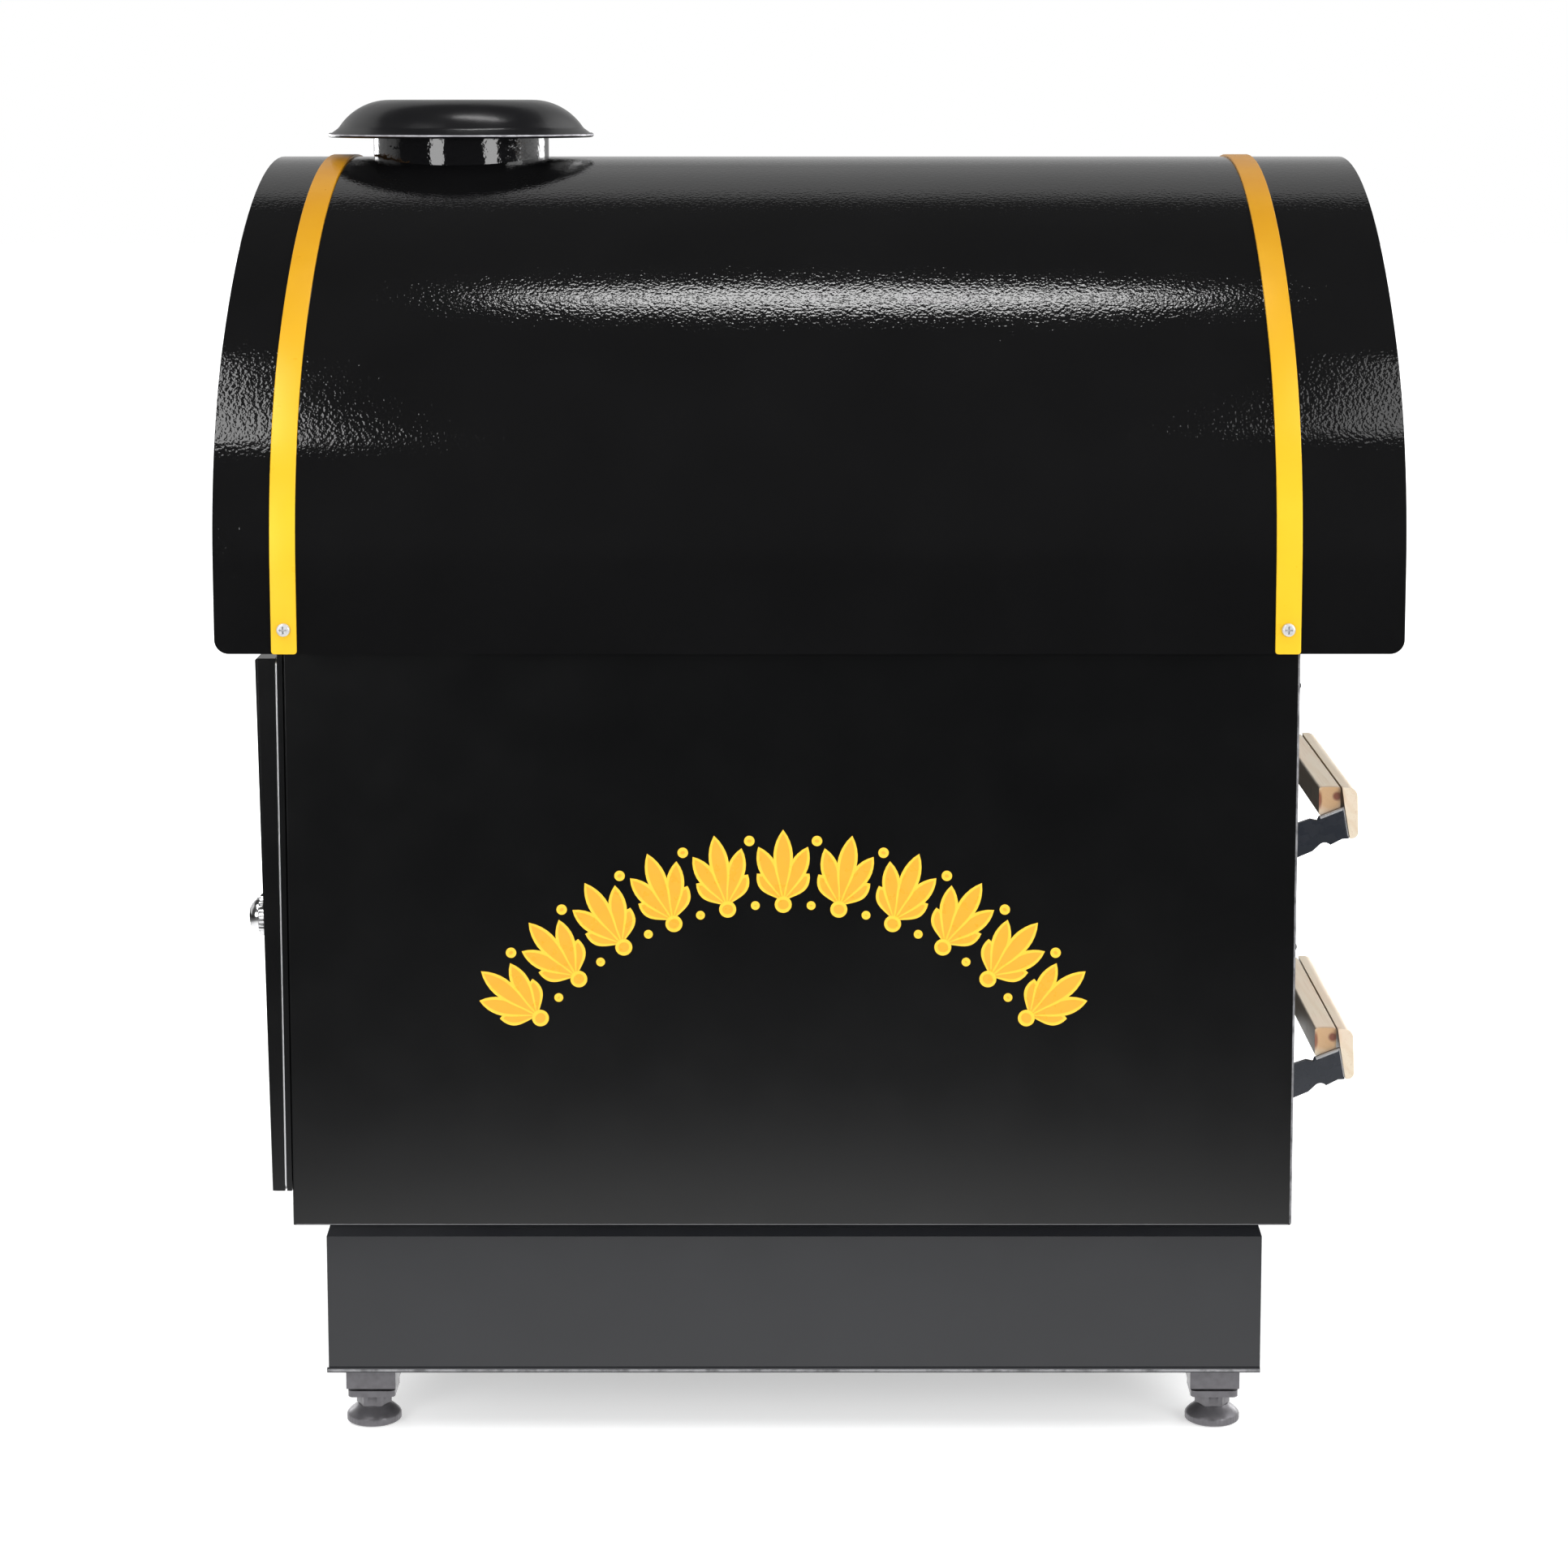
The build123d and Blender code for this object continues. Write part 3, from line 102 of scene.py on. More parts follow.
def math_node(nodes, links, operation, first, second):
    """Math node of two values, each a socket or a number."""
    node = nodes.new("ShaderNodeMath")
    node.operation = operation
    for socket, value in zip(node.inputs, (first, second)):
        if isinstance(value, (int, float)):
            socket.default_value = value
        else:
            links.new(value, socket)
    return node.outputs[0]


def mix_shaders(nodes, links, amount, first, second):
    """Mix Shader node, which shows the second shader where the amount is 1."""
    node = nodes.new("ShaderNodeMixShader")
    for socket, source in zip(node.inputs, (amount, first, second)):
        links.new(source, socket)
    return node.outputs[0]


def make_world():
    """White to the camera and pale to diffuse light.

    Gloss and glass see a white sheet behind and beside the oven, with a dim room above it.
    """
    world = bpy.data.worlds.new("studio")
    bpy.context.scene.world = world
    world.use_nodes = True
    nodes, links = world.node_tree.nodes, world.node_tree.links
    output = nodes["World Output"]
    room = nodes["Background"]
    white = nodes.new("ShaderNodeBackground")
    white.inputs["Color"].default_value = (1, 1, 1, 1)
    soft = nodes.new("ShaderNodeBackground")
    soft.inputs["Color"].default_value = (0.80, 0.80, 0.805, 1)
    direction = nodes.new("ShaderNodeTexCoord")
    parts = nodes.new("ShaderNodeSeparateXYZ")
    links.new(direction.outputs["Generated"], parts.inputs[0])

    def along(axis, ramp):
        return shade_range(nodes, links, parts.outputs[axis], *ramp)

    def joined(operation, first, second):
        return math_node(nodes, links, operation, first, second)

    sheet = joined("MULTIPLY", joined("MULTIPLY", along("Z", SHEET_TOP), along("Y", SHEET_BEHIND)),
                   joined("ADD", along("X", SHEET_RIGHT), along("X", SHEET_LEFT)))
    room.inputs["Color"].default_value = (1, 1, 1, 1)
    links.new(joined("ADD", sheet, along("Y", HORIZON)), room.inputs["Strength"])
    rays = nodes.new("ShaderNodeLightPath")
    shiny = joined("MAXIMUM", rays.outputs["Is Glossy Ray"], rays.outputs["Is Transmission Ray"])
    by_gloss = mix_shaders(nodes, links, shiny, soft.outputs[0], room.outputs[0])
    by_camera = mix_shaders(nodes, links, rays.outputs["Is Camera Ray"], by_gloss, white.outputs[0])
    links.new(by_camera, output.inputs["Surface"])


def make_floor():
    """Pale floor that turns into the white background and keeps the oven's shadow.

    Gloss sees it bright by the oven, dark further out, and half bright again far behind.
    """
    mesh = bpy.data.meshes.new("floor")
    corners = [(x * FLOOR_HALF, y * FLOOR_HALF, 0) for x, y in ((-1, -1), (1, -1), (1, 1), (-1, 1))]
    mesh.from_pydata(corners, [], [(0, 1, 2, 3)])
    floor = bpy.data.objects.new("floor", mesh)
    floor.location.z = -FLOOR_DROP
    bpy.context.scene.collection.objects.link(floor)
    material = bpy.data.materials.new("floor")
    material.use_nodes = True
    nodes, links = material.node_tree.nodes, material.node_tree.links
    shader = nodes["Principled BSDF"]
    shader.inputs["Roughness"].default_value = 0.9
    shader.inputs["Specular IOR Level"].default_value = 0.0
    shader.inputs["Base Color"].default_value = (0.82, 0.82, 0.82, 1)
    shader.inputs["Emission Color"].default_value = (1, 1, 1, 1)
    place = nodes.new("ShaderNodeTexCoord")
    length = nodes.new("ShaderNodeVectorMath")
    length.operation = "LENGTH"
    links.new(place.outputs["Object"], length.inputs[0])
    distance = length.outputs["Value"]
    rays = nodes.new("ShaderNodeLightPath")
    seen = math_node(nodes, links, "MULTIPLY", rays.outputs["Is Camera Ray"],
                     shade_range(nodes, links, distance, *FLOOR_SEEN))
    links.new(seen, shader.inputs["Emission Strength"])
    parts = nodes.new("ShaderNodeSeparateXYZ")
    links.new(place.outputs["Object"], parts.inputs[0])
    strength = shade_range(nodes, links, distance, *FLOOR_MIRRORED)
    for source, ramp in (*((distance, fall) for fall in FLOOR_FALLS), (parts.outputs["Y"], FLOOR_BACK)):
        strength = math_node(nodes, links, "ADD", strength, shade_range(nodes, links, source, *ramp))
    mirrored = nodes.new("ShaderNodeEmission")
    links.new(strength, mirrored.inputs["Strength"])
    mixed = mix_shaders(nodes, links, rays.outputs["Is Glossy Ray"], shader.outputs[0], mirrored.outputs[0])
    links.new(mixed, nodes["Material Output"].inputs["Surface"])
    mesh.materials.append(material)


make_camera()
make_world()
make_floor()
for lamp_row in (
    # name, place, point it faces, size and watts, then the shape where it isn't a rectangle
    ("overhead_strip", (0.030, 0.013, 1.97), (0.030, 0.013, 0.5), (0.63, 0.135), 2.3, "ELLIPSE"),
    ("left_softbox", (-0.735, -0.96, 1.59), (-0.735, -0.96, 0.5), (0.50, 1.08), 10.0),
    ("right_softbox", (0.71, -0.88, 1.59), (0.71, -0.88, 0.5), (0.50, 0.90), 3.6),
    ("left_window", (-1.08, -1.79, 0.60), (-0.19, 0.0, 0.45), (0.62, 0.70), 11.0),
    ("right_window", (1.21, -1.42, 0.60), (-0.19, 0.0, 0.45), (0.62, 0.70), 11.0),
    ("side_softbox", (1.70, -0.35, 1.05), (0.27, 0.0, 0.3), (0.80, 0.80), 11.0),
    ("far_left_window", (-1.21, 1.42, 0.60), (0.0, 0.0, 0.45), (0.62, 0.70), 11.0),
    ("far_right_window", (1.21, 1.42, 0.60), (0.0, 0.0, 0.45), (0.62, 0.70), 11.0),
):
    make_lamp(*lamp_row)
bpy.context.scene.view_settings.view_transform = "Standard"


# --- Materials ----------------------------------------------------------------------------------
WAVE_SCALE = 0.314            # a wave texture's scale that gives one stripe to each unit of length
SPOT_CORE = 0.55              # share of a spot's size that is at full strength


class Look:
    """A material on the Principled shader, with short calls for the nodes that it uses."""

    def __init__(self, name, color, roughness, metallic=0.0, **sockets):
        self.material = bpy.data.materials.new(name)
        self.material.use_nodes = True
        self.nodes = self.material.node_tree.nodes
        self.links = self.material.node_tree.links
        self.shader = self.nodes["Principled BSDF"]
        self.color = color
        self.shader.inputs["Base Color"].default_value = (*color, 1)
        self.shader.inputs["Roughness"].default_value = roughness
        self.shader.inputs["Metallic"].default_value = metallic
        for socket, value in sockets.items():
            self.shader.inputs[socket.replace("_", " ")].default_value = value
        self.height = None
        self.painted = None

    def place(self, stretch=(1, 1, 1), shift=(0, 0, 0)):
        """Object coordinates, which are the row frame's, scaled along each axis."""
        where = self.nodes.new("ShaderNodeTexCoord")
        scaled = self.nodes.new("ShaderNodeMapping")
        scaled.inputs["Scale"].default_value = stretch
        scaled.inputs["Location"].default_value = shift
        self.links.new(where.outputs["Object"], scaled.inputs["Vector"])
        return scaled.outputs["Vector"]

    def noise(self, size, stretch=(1, 1, 1), detail=2.0, rough=0.5):
        """Noise between 0 and 1 whose grain is about size metres across."""
        node = self.nodes.new("ShaderNodeTexNoise")
        node.inputs["Scale"].default_value = 1.0 / size
        node.inputs["Detail"].default_value = detail
        node.inputs["Roughness"].default_value = rough
        self.links.new(self.place(stretch), node.inputs["Vector"])
        return node.outputs["Fac"]

    def bands(self, size, stretch=(1, 1, 1), distortion=0.0, detail=2.0):
        """Soft stripes across the diagonal, with one stripe to each size metres."""
        node = self.nodes.new("ShaderNodeTexWave")
        node.wave_type = "BANDS"
        node.bands_direction = "DIAGONAL"
        node.inputs["Scale"].default_value = WAVE_SCALE / size
        node.inputs["Distortion"].default_value = distortion
        node.inputs["Detail"].default_value = detail
        self.links.new(self.place(stretch), node.inputs["Vector"])
        return node.outputs["Fac"]

    def spot(self, centre, size):
        """1 inside an ellipsoid with the given half sizes, fading to 0 at its edge."""
        stretch = [1 / s for s in size]
        shift = [-c / s for c, s in zip(centre, size)]
        length = self.nodes.new("ShaderNodeVectorMath")
        length.operation = "LENGTH"
        self.links.new(self.place(stretch, shift), length.inputs[0])
        return self.spread(length.outputs["Value"], SPOT_CORE, 1.0, 1.0, 0.0)

    def upward(self, low, high):
        """0 below one height and 1 above another."""
        parts = self.nodes.new("ShaderNodeSeparateXYZ")
        self.links.new(self.place(), parts.inputs[0])
        return self.spread(parts.outputs["Z"], low, high)

    def spread(self, source, low, high, to_low=0.0, to_high=1.0):
        return shade_range(self.nodes, self.links, source, low, high, to_low, to_high)

    def tint(self, amount, color):
        """Mixes a colour over what is painted already, by an amount socket."""
        node = self.nodes.new("ShaderNodeMix")
        node.data_type = "RGBA"
        if self.painted is None:
            node.inputs[6].default_value = (*self.color, 1)
        else:
            self.links.new(self.painted, node.inputs[6])
        node.inputs[7].default_value = (*color, 1)
        self.links.new(amount, node.inputs[0])
        self.painted = node.outputs[2]
        self.links.new(self.painted, self.shader.inputs["Base Color"])

    def rough(self, source, low, high):
        self.links.new(self.spread(source, 0.3, 0.7, low, high), self.shader.inputs["Roughness"])

    def bump(self, height, distance, strength=1.0):
        """Adds a bump of a height in metres on top of the ones already there."""
        node = self.nodes.new("ShaderNodeBump")
        node.inputs["Strength"].default_value = strength
        node.inputs["Distance"].default_value = distance
        self.links.new(height, node.inputs["Height"])
        if self.height:
            self.links.new(self.height, node.inputs["Normal"])
        self.height = node.outputs["Normal"]
        self.links.new(self.height, self.shader.inputs["Normal"])


def roof_coat():
    """Glossy black paint with a fine orange peel, which breaks lamps up into short curved flecks."""
    look = Look("roof_coat", (0.0040, 0.0040, 0.0042), 0.06)
    look.bump(look.noise(1.7 * MM, detail=1), 0.108 * MM)
    look.rough(look.noise(25 * MM, detail=4), 0.045, 0.075)
    look.tint(look.spread(look.noise(60 * MM, detail=3), 0.35, 0.8, 0.0, 0.5), (0.0060, 0.0060, 0.0063))
    return look.material


def gloss_coat():
    """Glossy black paint with only a faint orange peel."""
    look = Look("gloss_coat", (0.0052, 0.0052, 0.0060), 0.24)
    look.bump(look.noise(5 * MM, detail=2), 0.10 * MM, 0.35)
    look.rough(look.noise(20 * MM, detail=4), 0.21, 0.27)
    look.tint(look.spread(look.noise(50 * MM, detail=3), 0.35, 0.8, 0.0, 0.5), (0.0085, 0.0085, 0.009))
    return look.material


def pipe_coat():
    """The coat on the flue pipe, with upright reflections that waver at their edges."""
    look = Look("pipe_coat", (0.0052, 0.0052, 0.0060), 0.06)
    look.bump(look.noise(3.2 * MM, detail=2), 0.16 * MM)
    look.rough(look.noise(20 * MM, detail=4), 0.045, 0.08)
    look.tint(look.spread(look.noise(50 * MM, detail=3), 0.35, 0.8, 0.0, 0.5), (0.0085, 0.0085, 0.009))
    return look.material


def casing_coat(name, color):
    """Smooth satin paint on the flat sheets of the casing and plinth."""
    look = Look(name, color, 0.21)
    look.bump(look.noise(0.7 * MM, detail=2), 0.02 * MM, 0.25)
    look.rough(look.noise(35 * MM, detail=5), 0.19, 0.24)
    look.tint(look.spread(look.noise(80 * MM, detail=4), 0.35, 0.8, 0.0, 0.5), tuple(1.4 * c for c in color))
    return look.material


def inner_coat():
    """The same coat where it is seen only inside: satin."""
    look = Look("inner_coat", (0.012, 0.012, 0.013), 0.42)
    look.bump(look.noise(1.5 * MM), 0.1 * MM, 0.4)
    look.rough(look.noise(20 * MM, detail=3), 0.36, 0.5)
    look.tint(look.spread(look.noise(30 * MM, detail=3), 0.4, 0.8, 0.0, 0.6), (0.018, 0.018, 0.019))
    return look.material


def strap_gold():
    """Golden yellow anodised strip, with painted shade that deepens it to orange towards the crown of the
    roof.
    """
    look = Look("strap_gold", (0.74, 0.46, 0.017), 0.28, 0.08, Specular_IOR_Level=0.3)
    # Painted shade: the colour turns a deeper orange from 0.47 m up to 0.63 m, towards the crown.
    look.tint(look.upward(0.47, 0.63), (0.535, 0.235, 0.006))
    look.tint(look.spread(look.noise(25 * MM, detail=3), 0.4, 0.8, 0.0, 0.25), (0.68, 0.37, 0.015))
    look.rough(look.noise(15 * MM, detail=3), 0.27, 0.34)
    look.bump(look.noise(20 * MM), 0.10 * MM, 0.3)
    return look.material


def steel(name, color, roughness, grain=(0.03, 1, 1)):
    """Brushed steel with its grain along the axis that is stretched least."""
    look = Look(name, color, roughness, 1.0)
    brushed = look.noise(0.4 * MM, grain, detail=4, rough=0.65)
    look.rough(brushed, roughness * 0.8, roughness * 1.25)
    look.bump(brushed, 0.012 * MM, 0.5)
    look.tint(look.spread(look.noise(45 * MM, detail=4), 0.4, 0.8, 0.0, 0.5), tuple(c * 0.82 for c in color))
    return look.material


def chrome(name, color=(0.72, 0.72, 0.73), roughness=0.14):
    look = Look(name, color, roughness, 1.0)
    look.rough(look.noise(6 * MM, detail=4), roughness * 0.7, roughness * 1.6)
    look.bump(look.noise(2.5 * MM), 0.02 * MM, 0.4)
    look.tint(look.spread(look.noise(9 * MM, detail=3), 0.4, 0.8, 0.0, 0.35), tuple(c * 0.8 for c in color))
    return look.material


def foot_zinc():
    """Dark zinc plate, cloudy, with a fine cast grain."""
    look = Look("foot_zinc", (0.130, 0.126, 0.136), 0.36, 0.55)
    look.tint(look.spread(look.noise(4 * MM, detail=5), 0.42, 0.75, 0.0, 0.7), (0.088, 0.084, 0.090))
    look.rough(look.noise(3 * MM, detail=4), 0.30, 0.46)
    look.bump(look.noise(0.8 * MM, detail=3), 0.05 * MM, 0.5)
    return look.material


def glass():
    """Clear float glass with a trace of green and a very long ripple."""
    look = Look("pane_glass", (0.93, 0.97, 0.96), 0.02, Transmission_Weight=1.0, IOR=1.45)
    look.bump(look.noise(120 * MM), 0.05 * MM, 0.2)
    return look.material


def plastic(name, color, roughness=0.4, texture=0.7, **sockets):
    look = Look(name, color, roughness, **sockets)
    look.bump(look.noise(texture * MM), 0.04 * MM, 0.5)
    look.rough(look.noise(8 * MM, detail=3), roughness * 0.85, roughness * 1.2)
    look.tint(look.spread(look.noise(14 * MM), 0.4, 0.8, 0.0, 0.4), tuple(c * 0.8 for c in color))
    return look.material


def bracket_paint():
    """Smooth dark blue-grey paint, worn lighter in small patches."""
    look = Look("bracket_paint", (0.0195, 0.0235, 0.032), 0.26)
    look.tint(look.spread(look.noise(10 * MM, detail=4), 0.45, 0.75, 0.0, 0.6), (0.030, 0.033, 0.043))
    look.rough(look.noise(6 * MM, detail=4), 0.22, 0.34)
    look.bump(look.noise(2 * MM, detail=2), 0.03 * MM, 0.4)
    return look.material


GRIP_BOTTOMS = (120 * MM, 253 * MM)   # bottoms of the two doors
GRIP_SPOTS = (
    # strength, X, Y, height above the door's bottom, half sizes and colour of each spot: a knot, then an
    # orange-brown patch and two dark spots at the slat's near end
    (0.40, 0.2735, -0.048, 0.0400, (0.004, 0.0022, 0.0042), (0.42, 0.29, 0.17)),
    (0.78, 0.2795, -0.0812, 0.0440, (0.0100, 0.0055, 0.0110), (0.60, 0.33, 0.13)),
    (0.85, 0.2735, -0.0812, 0.0420, (0.0020, 0.0030, 0.0060), (0.26, 0.06, 0.03)),
    (0.90, 0.2832, -0.0812, 0.0440, (0.0030, 0.0040, 0.0030), (0.22, 0.05, 0.03)),
)


def grip_wood():
    """Pale cream beech with its grain along Y, with a knot and, at each inner slat's near end, an
    orange-brown patch and two dark spots.
    """
    look = Look("grip_wood", (0.83, 0.71, 0.545), 0.36, Coat_Weight=0.2, Coat_Roughness=0.25)
    rings = look.bands(5.5 * MM, (1, 0.07, 1), 7.0, 3.0)
    look.tint(look.spread(rings, 0.45, 1.0, 0.0, 0.5), (0.76, 0.60, 0.42))
    streaks = look.noise(0.9 * MM, (1, 0.03, 1), detail=3)
    look.tint(look.spread(streaks, 0.56, 0.8, 0.0, 0.6), (0.62, 0.44, 0.27))
    blotches = look.noise(20 * MM, (1, 0.3, 1), detail=3)
    look.tint(look.spread(blotches, 0.52, 0.75, 0.0, 0.5), (0.86, 0.66, 0.52))
    for bottom in GRIP_BOTTOMS:
        for strength, x, y, above, size, color in GRIP_SPOTS:
            spot = look.spot((x, y, bottom + above), size)
            look.tint(math_node(look.nodes, look.links, "MULTIPLY", strength, spot), color)
    look.bump(streaks, 0.05 * MM, 0.5)
    look.rough(blotches, 0.30, 0.44)
    return look.material


def wool():
    look = Look("mineral_wool", (0.56, 0.50, 0.34), 0.95, Sheen_Weight=0.3)
    strands = look.noise(1.5 * MM, (1, 0.15, 0.6), detail=5, rough=0.7)
    look.tint(look.spread(strands, 0.4, 0.7), (0.36, 0.30, 0.18))
    look.bump(strands, 1.0 * MM, 0.8)
    return look.material


def braid():
    """Glass-fibre rope, woven in small slanting strands."""
    look = Look("gasket_braid", (0.52, 0.51, 0.48), 0.85, Sheen_Weight=0.2)
    weave = look.bands(1.3 * MM, distortion=0.6)
    look.tint(look.spread(weave, 0.3, 0.8, 0.5, 0.0), (0.30, 0.29, 0.27))
    look.bump(weave, 0.3 * MM, 0.8)
    look.rough(look.noise(3 * MM), 0.75, 0.95)
    return look.material


def element_sheath():
    look = Look("element_sheath", (0.07, 0.06, 0.055), 0.5, 0.7)
    look.tint(look.spread(look.noise(8 * MM, detail=5), 0.4, 0.7), (0.13, 0.08, 0.06))
    look.bump(look.noise(1 * MM, detail=4), 0.08 * MM, 0.5)
    look.rough(look.noise(5 * MM, detail=4), 0.4, 0.65)
    return look.material


def painted_sheen_edge(name, color, dull):
    """Pale grey that paints a highlight along an edge, duller in random patches."""
    look = Look(name, color, 0.42, 0.25)
    look.tint(look.spread(look.noise(7 * MM, detail=4, rough=0.6), 0.42, 0.62), dull)
    look.rough(look.noise(2 * MM, detail=3), 0.34, 0.55)
    look.bump(look.noise(0.9 * MM, detail=3), 0.05 * MM, 0.5)
    return look.material


def enamel(name, color, roughness=0.3):
    """Thick printed colour that lies on the coat."""
    look = Look(name, color, roughness)
    look.bump(look.noise(2.0 * MM, detail=3), 0.05 * MM, 0.4)
    look.tint(look.spread(look.noise(9 * MM, detail=3), 0.4, 0.8, 0.0, 0.45), tuple(c * 0.9 for c in color))
    look.rough(look.noise(5 * MM), roughness * 0.85, roughness * 1.2)
    return look.material


ROOF_COAT = roof_coat()
GLOSS_COAT = gloss_coat()
PIPE_COAT = pipe_coat()
CASING_COAT = casing_coat("casing_coat", (0.0026, 0.0027, 0.0029))
PLINTH_COAT = casing_coat("plinth_coat", (0.0080, 0.0087, 0.0108))
INNER_COAT = inner_coat()
STRAP_GOLD = strap_gold()
OVEN_STEEL = steel("oven_steel", (0.56, 0.56, 0.57), 0.3)
HINGE_STEEL = steel("hinge_steel", (0.50, 0.50, 0.51), 0.34, (1, 0.03, 1))
TRACK_ALUMINIUM = steel("track_aluminium", (0.66, 0.66, 0.68), 0.32, (1, 0.03, 1))
SEAM_STEEL = steel("seam_steel", (0.78, 0.78, 0.79), 0.38, (1, 1, 0.03))
BARE_EDGE_AND_SHEEN_STEEL = steel("bare_edge_and_sheen_steel", (0.26, 0.26, 0.27), 0.42, (0.03, 1, 1))
# Pale greys for painted highlights along the side panels' front edges, the plinth's hem and the cap's rim.
SHEEN_EDGE_PAINT = painted_sheen_edge("painted_sheen_edge", (0.25, 0.25, 0.26), (0.10, 0.10, 0.105))
RIM_SHEEN_PAINT = painted_sheen_edge("painted_rim_sheen", (0.44, 0.43, 0.46), (0.26, 0.25, 0.27))
BRACKET_PAINT = bracket_paint()
SCREW_CHROME = chrome("bright_screws")
SCREW_ZINC = plastic("screw_zinc", (0.62, 0.62, 0.63), 0.3, 2.0, Metallic=0.35)
RACK_CHROME = chrome("rack_chrome", (0.74, 0.74, 0.76), 0.18)
FOOT_ZINC = foot_zinc()
GLASS = glass()
LAMP_GLASS = plastic("lamp_glass", (0.86, 0.85, 0.80), 0.35, Subsurface_Weight=0.3)
GRIP_WOOD = grip_wood()
BLACK_PLASTIC = plastic("black_plastic", (0.018, 0.018, 0.019), 0.42)
RED_PLASTIC = plastic("red_rocker", (0.50, 0.018, 0.015), 0.22)
GREEN_PLASTIC = plastic("green_rocker", (0.015, 0.30, 0.06), 0.22)
AMBER_LENS = plastic("amber_lens", (0.85, 0.28, 0.02), 0.15, Transmission_Weight=0.5)
TERMINAL_PLASTIC = plastic("terminal_plastic", (0.72, 0.71, 0.66), 0.5)
WHITE_PRINT = enamel("white_print", (0.78, 0.78, 0.76), 0.5)
WOOL = wool()
BRAID = braid()
SHEATH = element_sheath()
ORANGE_ENAMEL = enamel("orange_enamel", (0.80, 0.34, 0.022))
YELLOW_ENAMEL = enamel("yellow_enamel", (0.86, 0.51, 0.037))

FINISHES = {
    ROOF_COAT: "roof_cover",
    GLOSS_COAT: "chimney_pipe chimney_cap",
    CASING_COAT: "side_panel_near side_panel_far rear_wall rear_cover display_frame front_frame front_rails "
                 "front_arch control_panel upper_door_skin lower_door_skin",
    PLINTH_COAT: "plinth_walls",
    INNER_COAT: "base_plate lamp_holder",
    STRAP_GOLD: "trim_straps",
    SCREW_CHROME: "cover_nuts",
    SCREW_ZINC: "strap_screws",
    OVEN_STEEL: "oven_decks liner_walls casing_floor rack_runners cap_brackets display_floor display_tray "
                "upper_door_liner lower_door_liner",
    HINGE_STEEL: "hinge_leaves hinge_pins upper_door_hinge lower_door_hinge",
    FOOT_ZINC: "foot_plates rear_near_foot rear_far_foot front_near_foot front_far_foot",
    RACK_CHROME: "wire_racks",
    SHEATH: "heating_elements",
    TRACK_ALUMINIUM: "pane_tracks",
    GLASS: "display_glass near_pane far_pane",
    LAMP_GLASS: "lamp_tube",
    GRIP_WOOD: "upper_handle_grip lower_handle_grip",
    BRACKET_PAINT: "upper_handle_brackets lower_handle_brackets",
    BLACK_PLASTIC: "thermostat_knob timer_knob switch_frames thermostat_body timer_body cable_gland",
    RED_PLASTIC: "main_rocker",
    GREEN_PLASTIC: "lamp_rocker",
    AMBER_LENS: "pilot_lamps",
    TERMINAL_PLASTIC: "terminal_block",
    WOOL: "insulation",
}
for material, names in FINISHES.items():
    for name in names.split():
        mesh = NODES[name].data
        mesh.materials.clear()
        mesh.materials.append(material)


# --- Small tools for the Blender pieces ---------------------------------------------------------
CREASE = 35                   # degrees, above which an edge stays sharp
ENAMEL_CREASE = 20
SCREW_CREASE = 28
TURNED_CREASE = 40
WELD = 1e-6                   # points nearer than this are joined


def to_mesh(build, name, crease):
    """Ends a bmesh: normals outwards, smooth shading, edges sharper than the crease left sharp."""
    bmesh.ops.recalc_face_normals(build, faces=build.faces)
    for face in build.faces:
        face.smooth = True
    for edge in build.edges:
        edge.smooth = len(edge.link_faces) == 2 and edge.calc_face_angle(0) < math.radians(crease)
    mesh = bpy.data.meshes.new(name)
    build.to_mesh(mesh)
    build.free()
    return mesh


def piece(build, name, material, body, slot, *replaced, crease=CREASE):
    """Ends a bmesh in the row frame as a piece that rides on a body and may stand for CAD nodes."""
    mesh = to_mesh(build, name, crease)
    thing = bpy.data.objects.new(name, mesh)
    bpy.context.scene.collection.objects.link(thing)
    mesh.materials.append(material)
    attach(thing, body)
    if replaced:
        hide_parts(*replaced)


def welded(node, name, material, body, slot):
    """A piece in the shape of a CAD node, with its faces joined so that a curved sheet shades as one."""
    build = bmesh.new()
    build.from_mesh(NODES[node].data)
    bmesh.ops.remove_doubles(build, verts=build.verts, dist=WELD)
    piece(build, name, material, body, slot, node)


def circle(steps):
    """Angles of evenly spaced steps once round."""
    return [2 * math.pi * n / steps for n in range(steps)]


def loft(build, rings, closed=False):
    """Skins a row of closed rings of points. A ring of one point ends it in a fan."""
    made = [[build.verts.new(point) for point in ring] for ring in rings]
    pairs = list(zip(made, made[1:] + made[:1] if closed else made[1:]))
    for first, second in pairs:
        count = max(len(first), len(second))
        for n in range(count):
            m = (n + 1) % count
            corners = [first[n % len(first)], first[m % len(first)], second[m % len(second)],
                       second[n % len(second)]]
            build.faces.new(list(dict.fromkeys(corners)))


def closed_loft(build, rings, weld=WELD):
    """Skins a row of closed rings and closes both ends."""
    loft(build, rings)
    for ring in rings:
        build.faces.new([build.verts.new(point) for point in ring])
    bmesh.ops.remove_doubles(build, verts=build.verts, dist=weld)


def hexagon(angle):
    """Radius of a hexagon at an angle, for a flat at distance 1 facing 90 degrees."""
    third = math.pi / 3
    return 1 / math.cos((angle % third) - third / 2)


def knurl(teeth, depth):
    """Radius of a rim with fine teeth, as a share of its outer radius."""
    return lambda angle: 1 - depth * (0.5 + 0.5 * math.cos(teeth * angle))


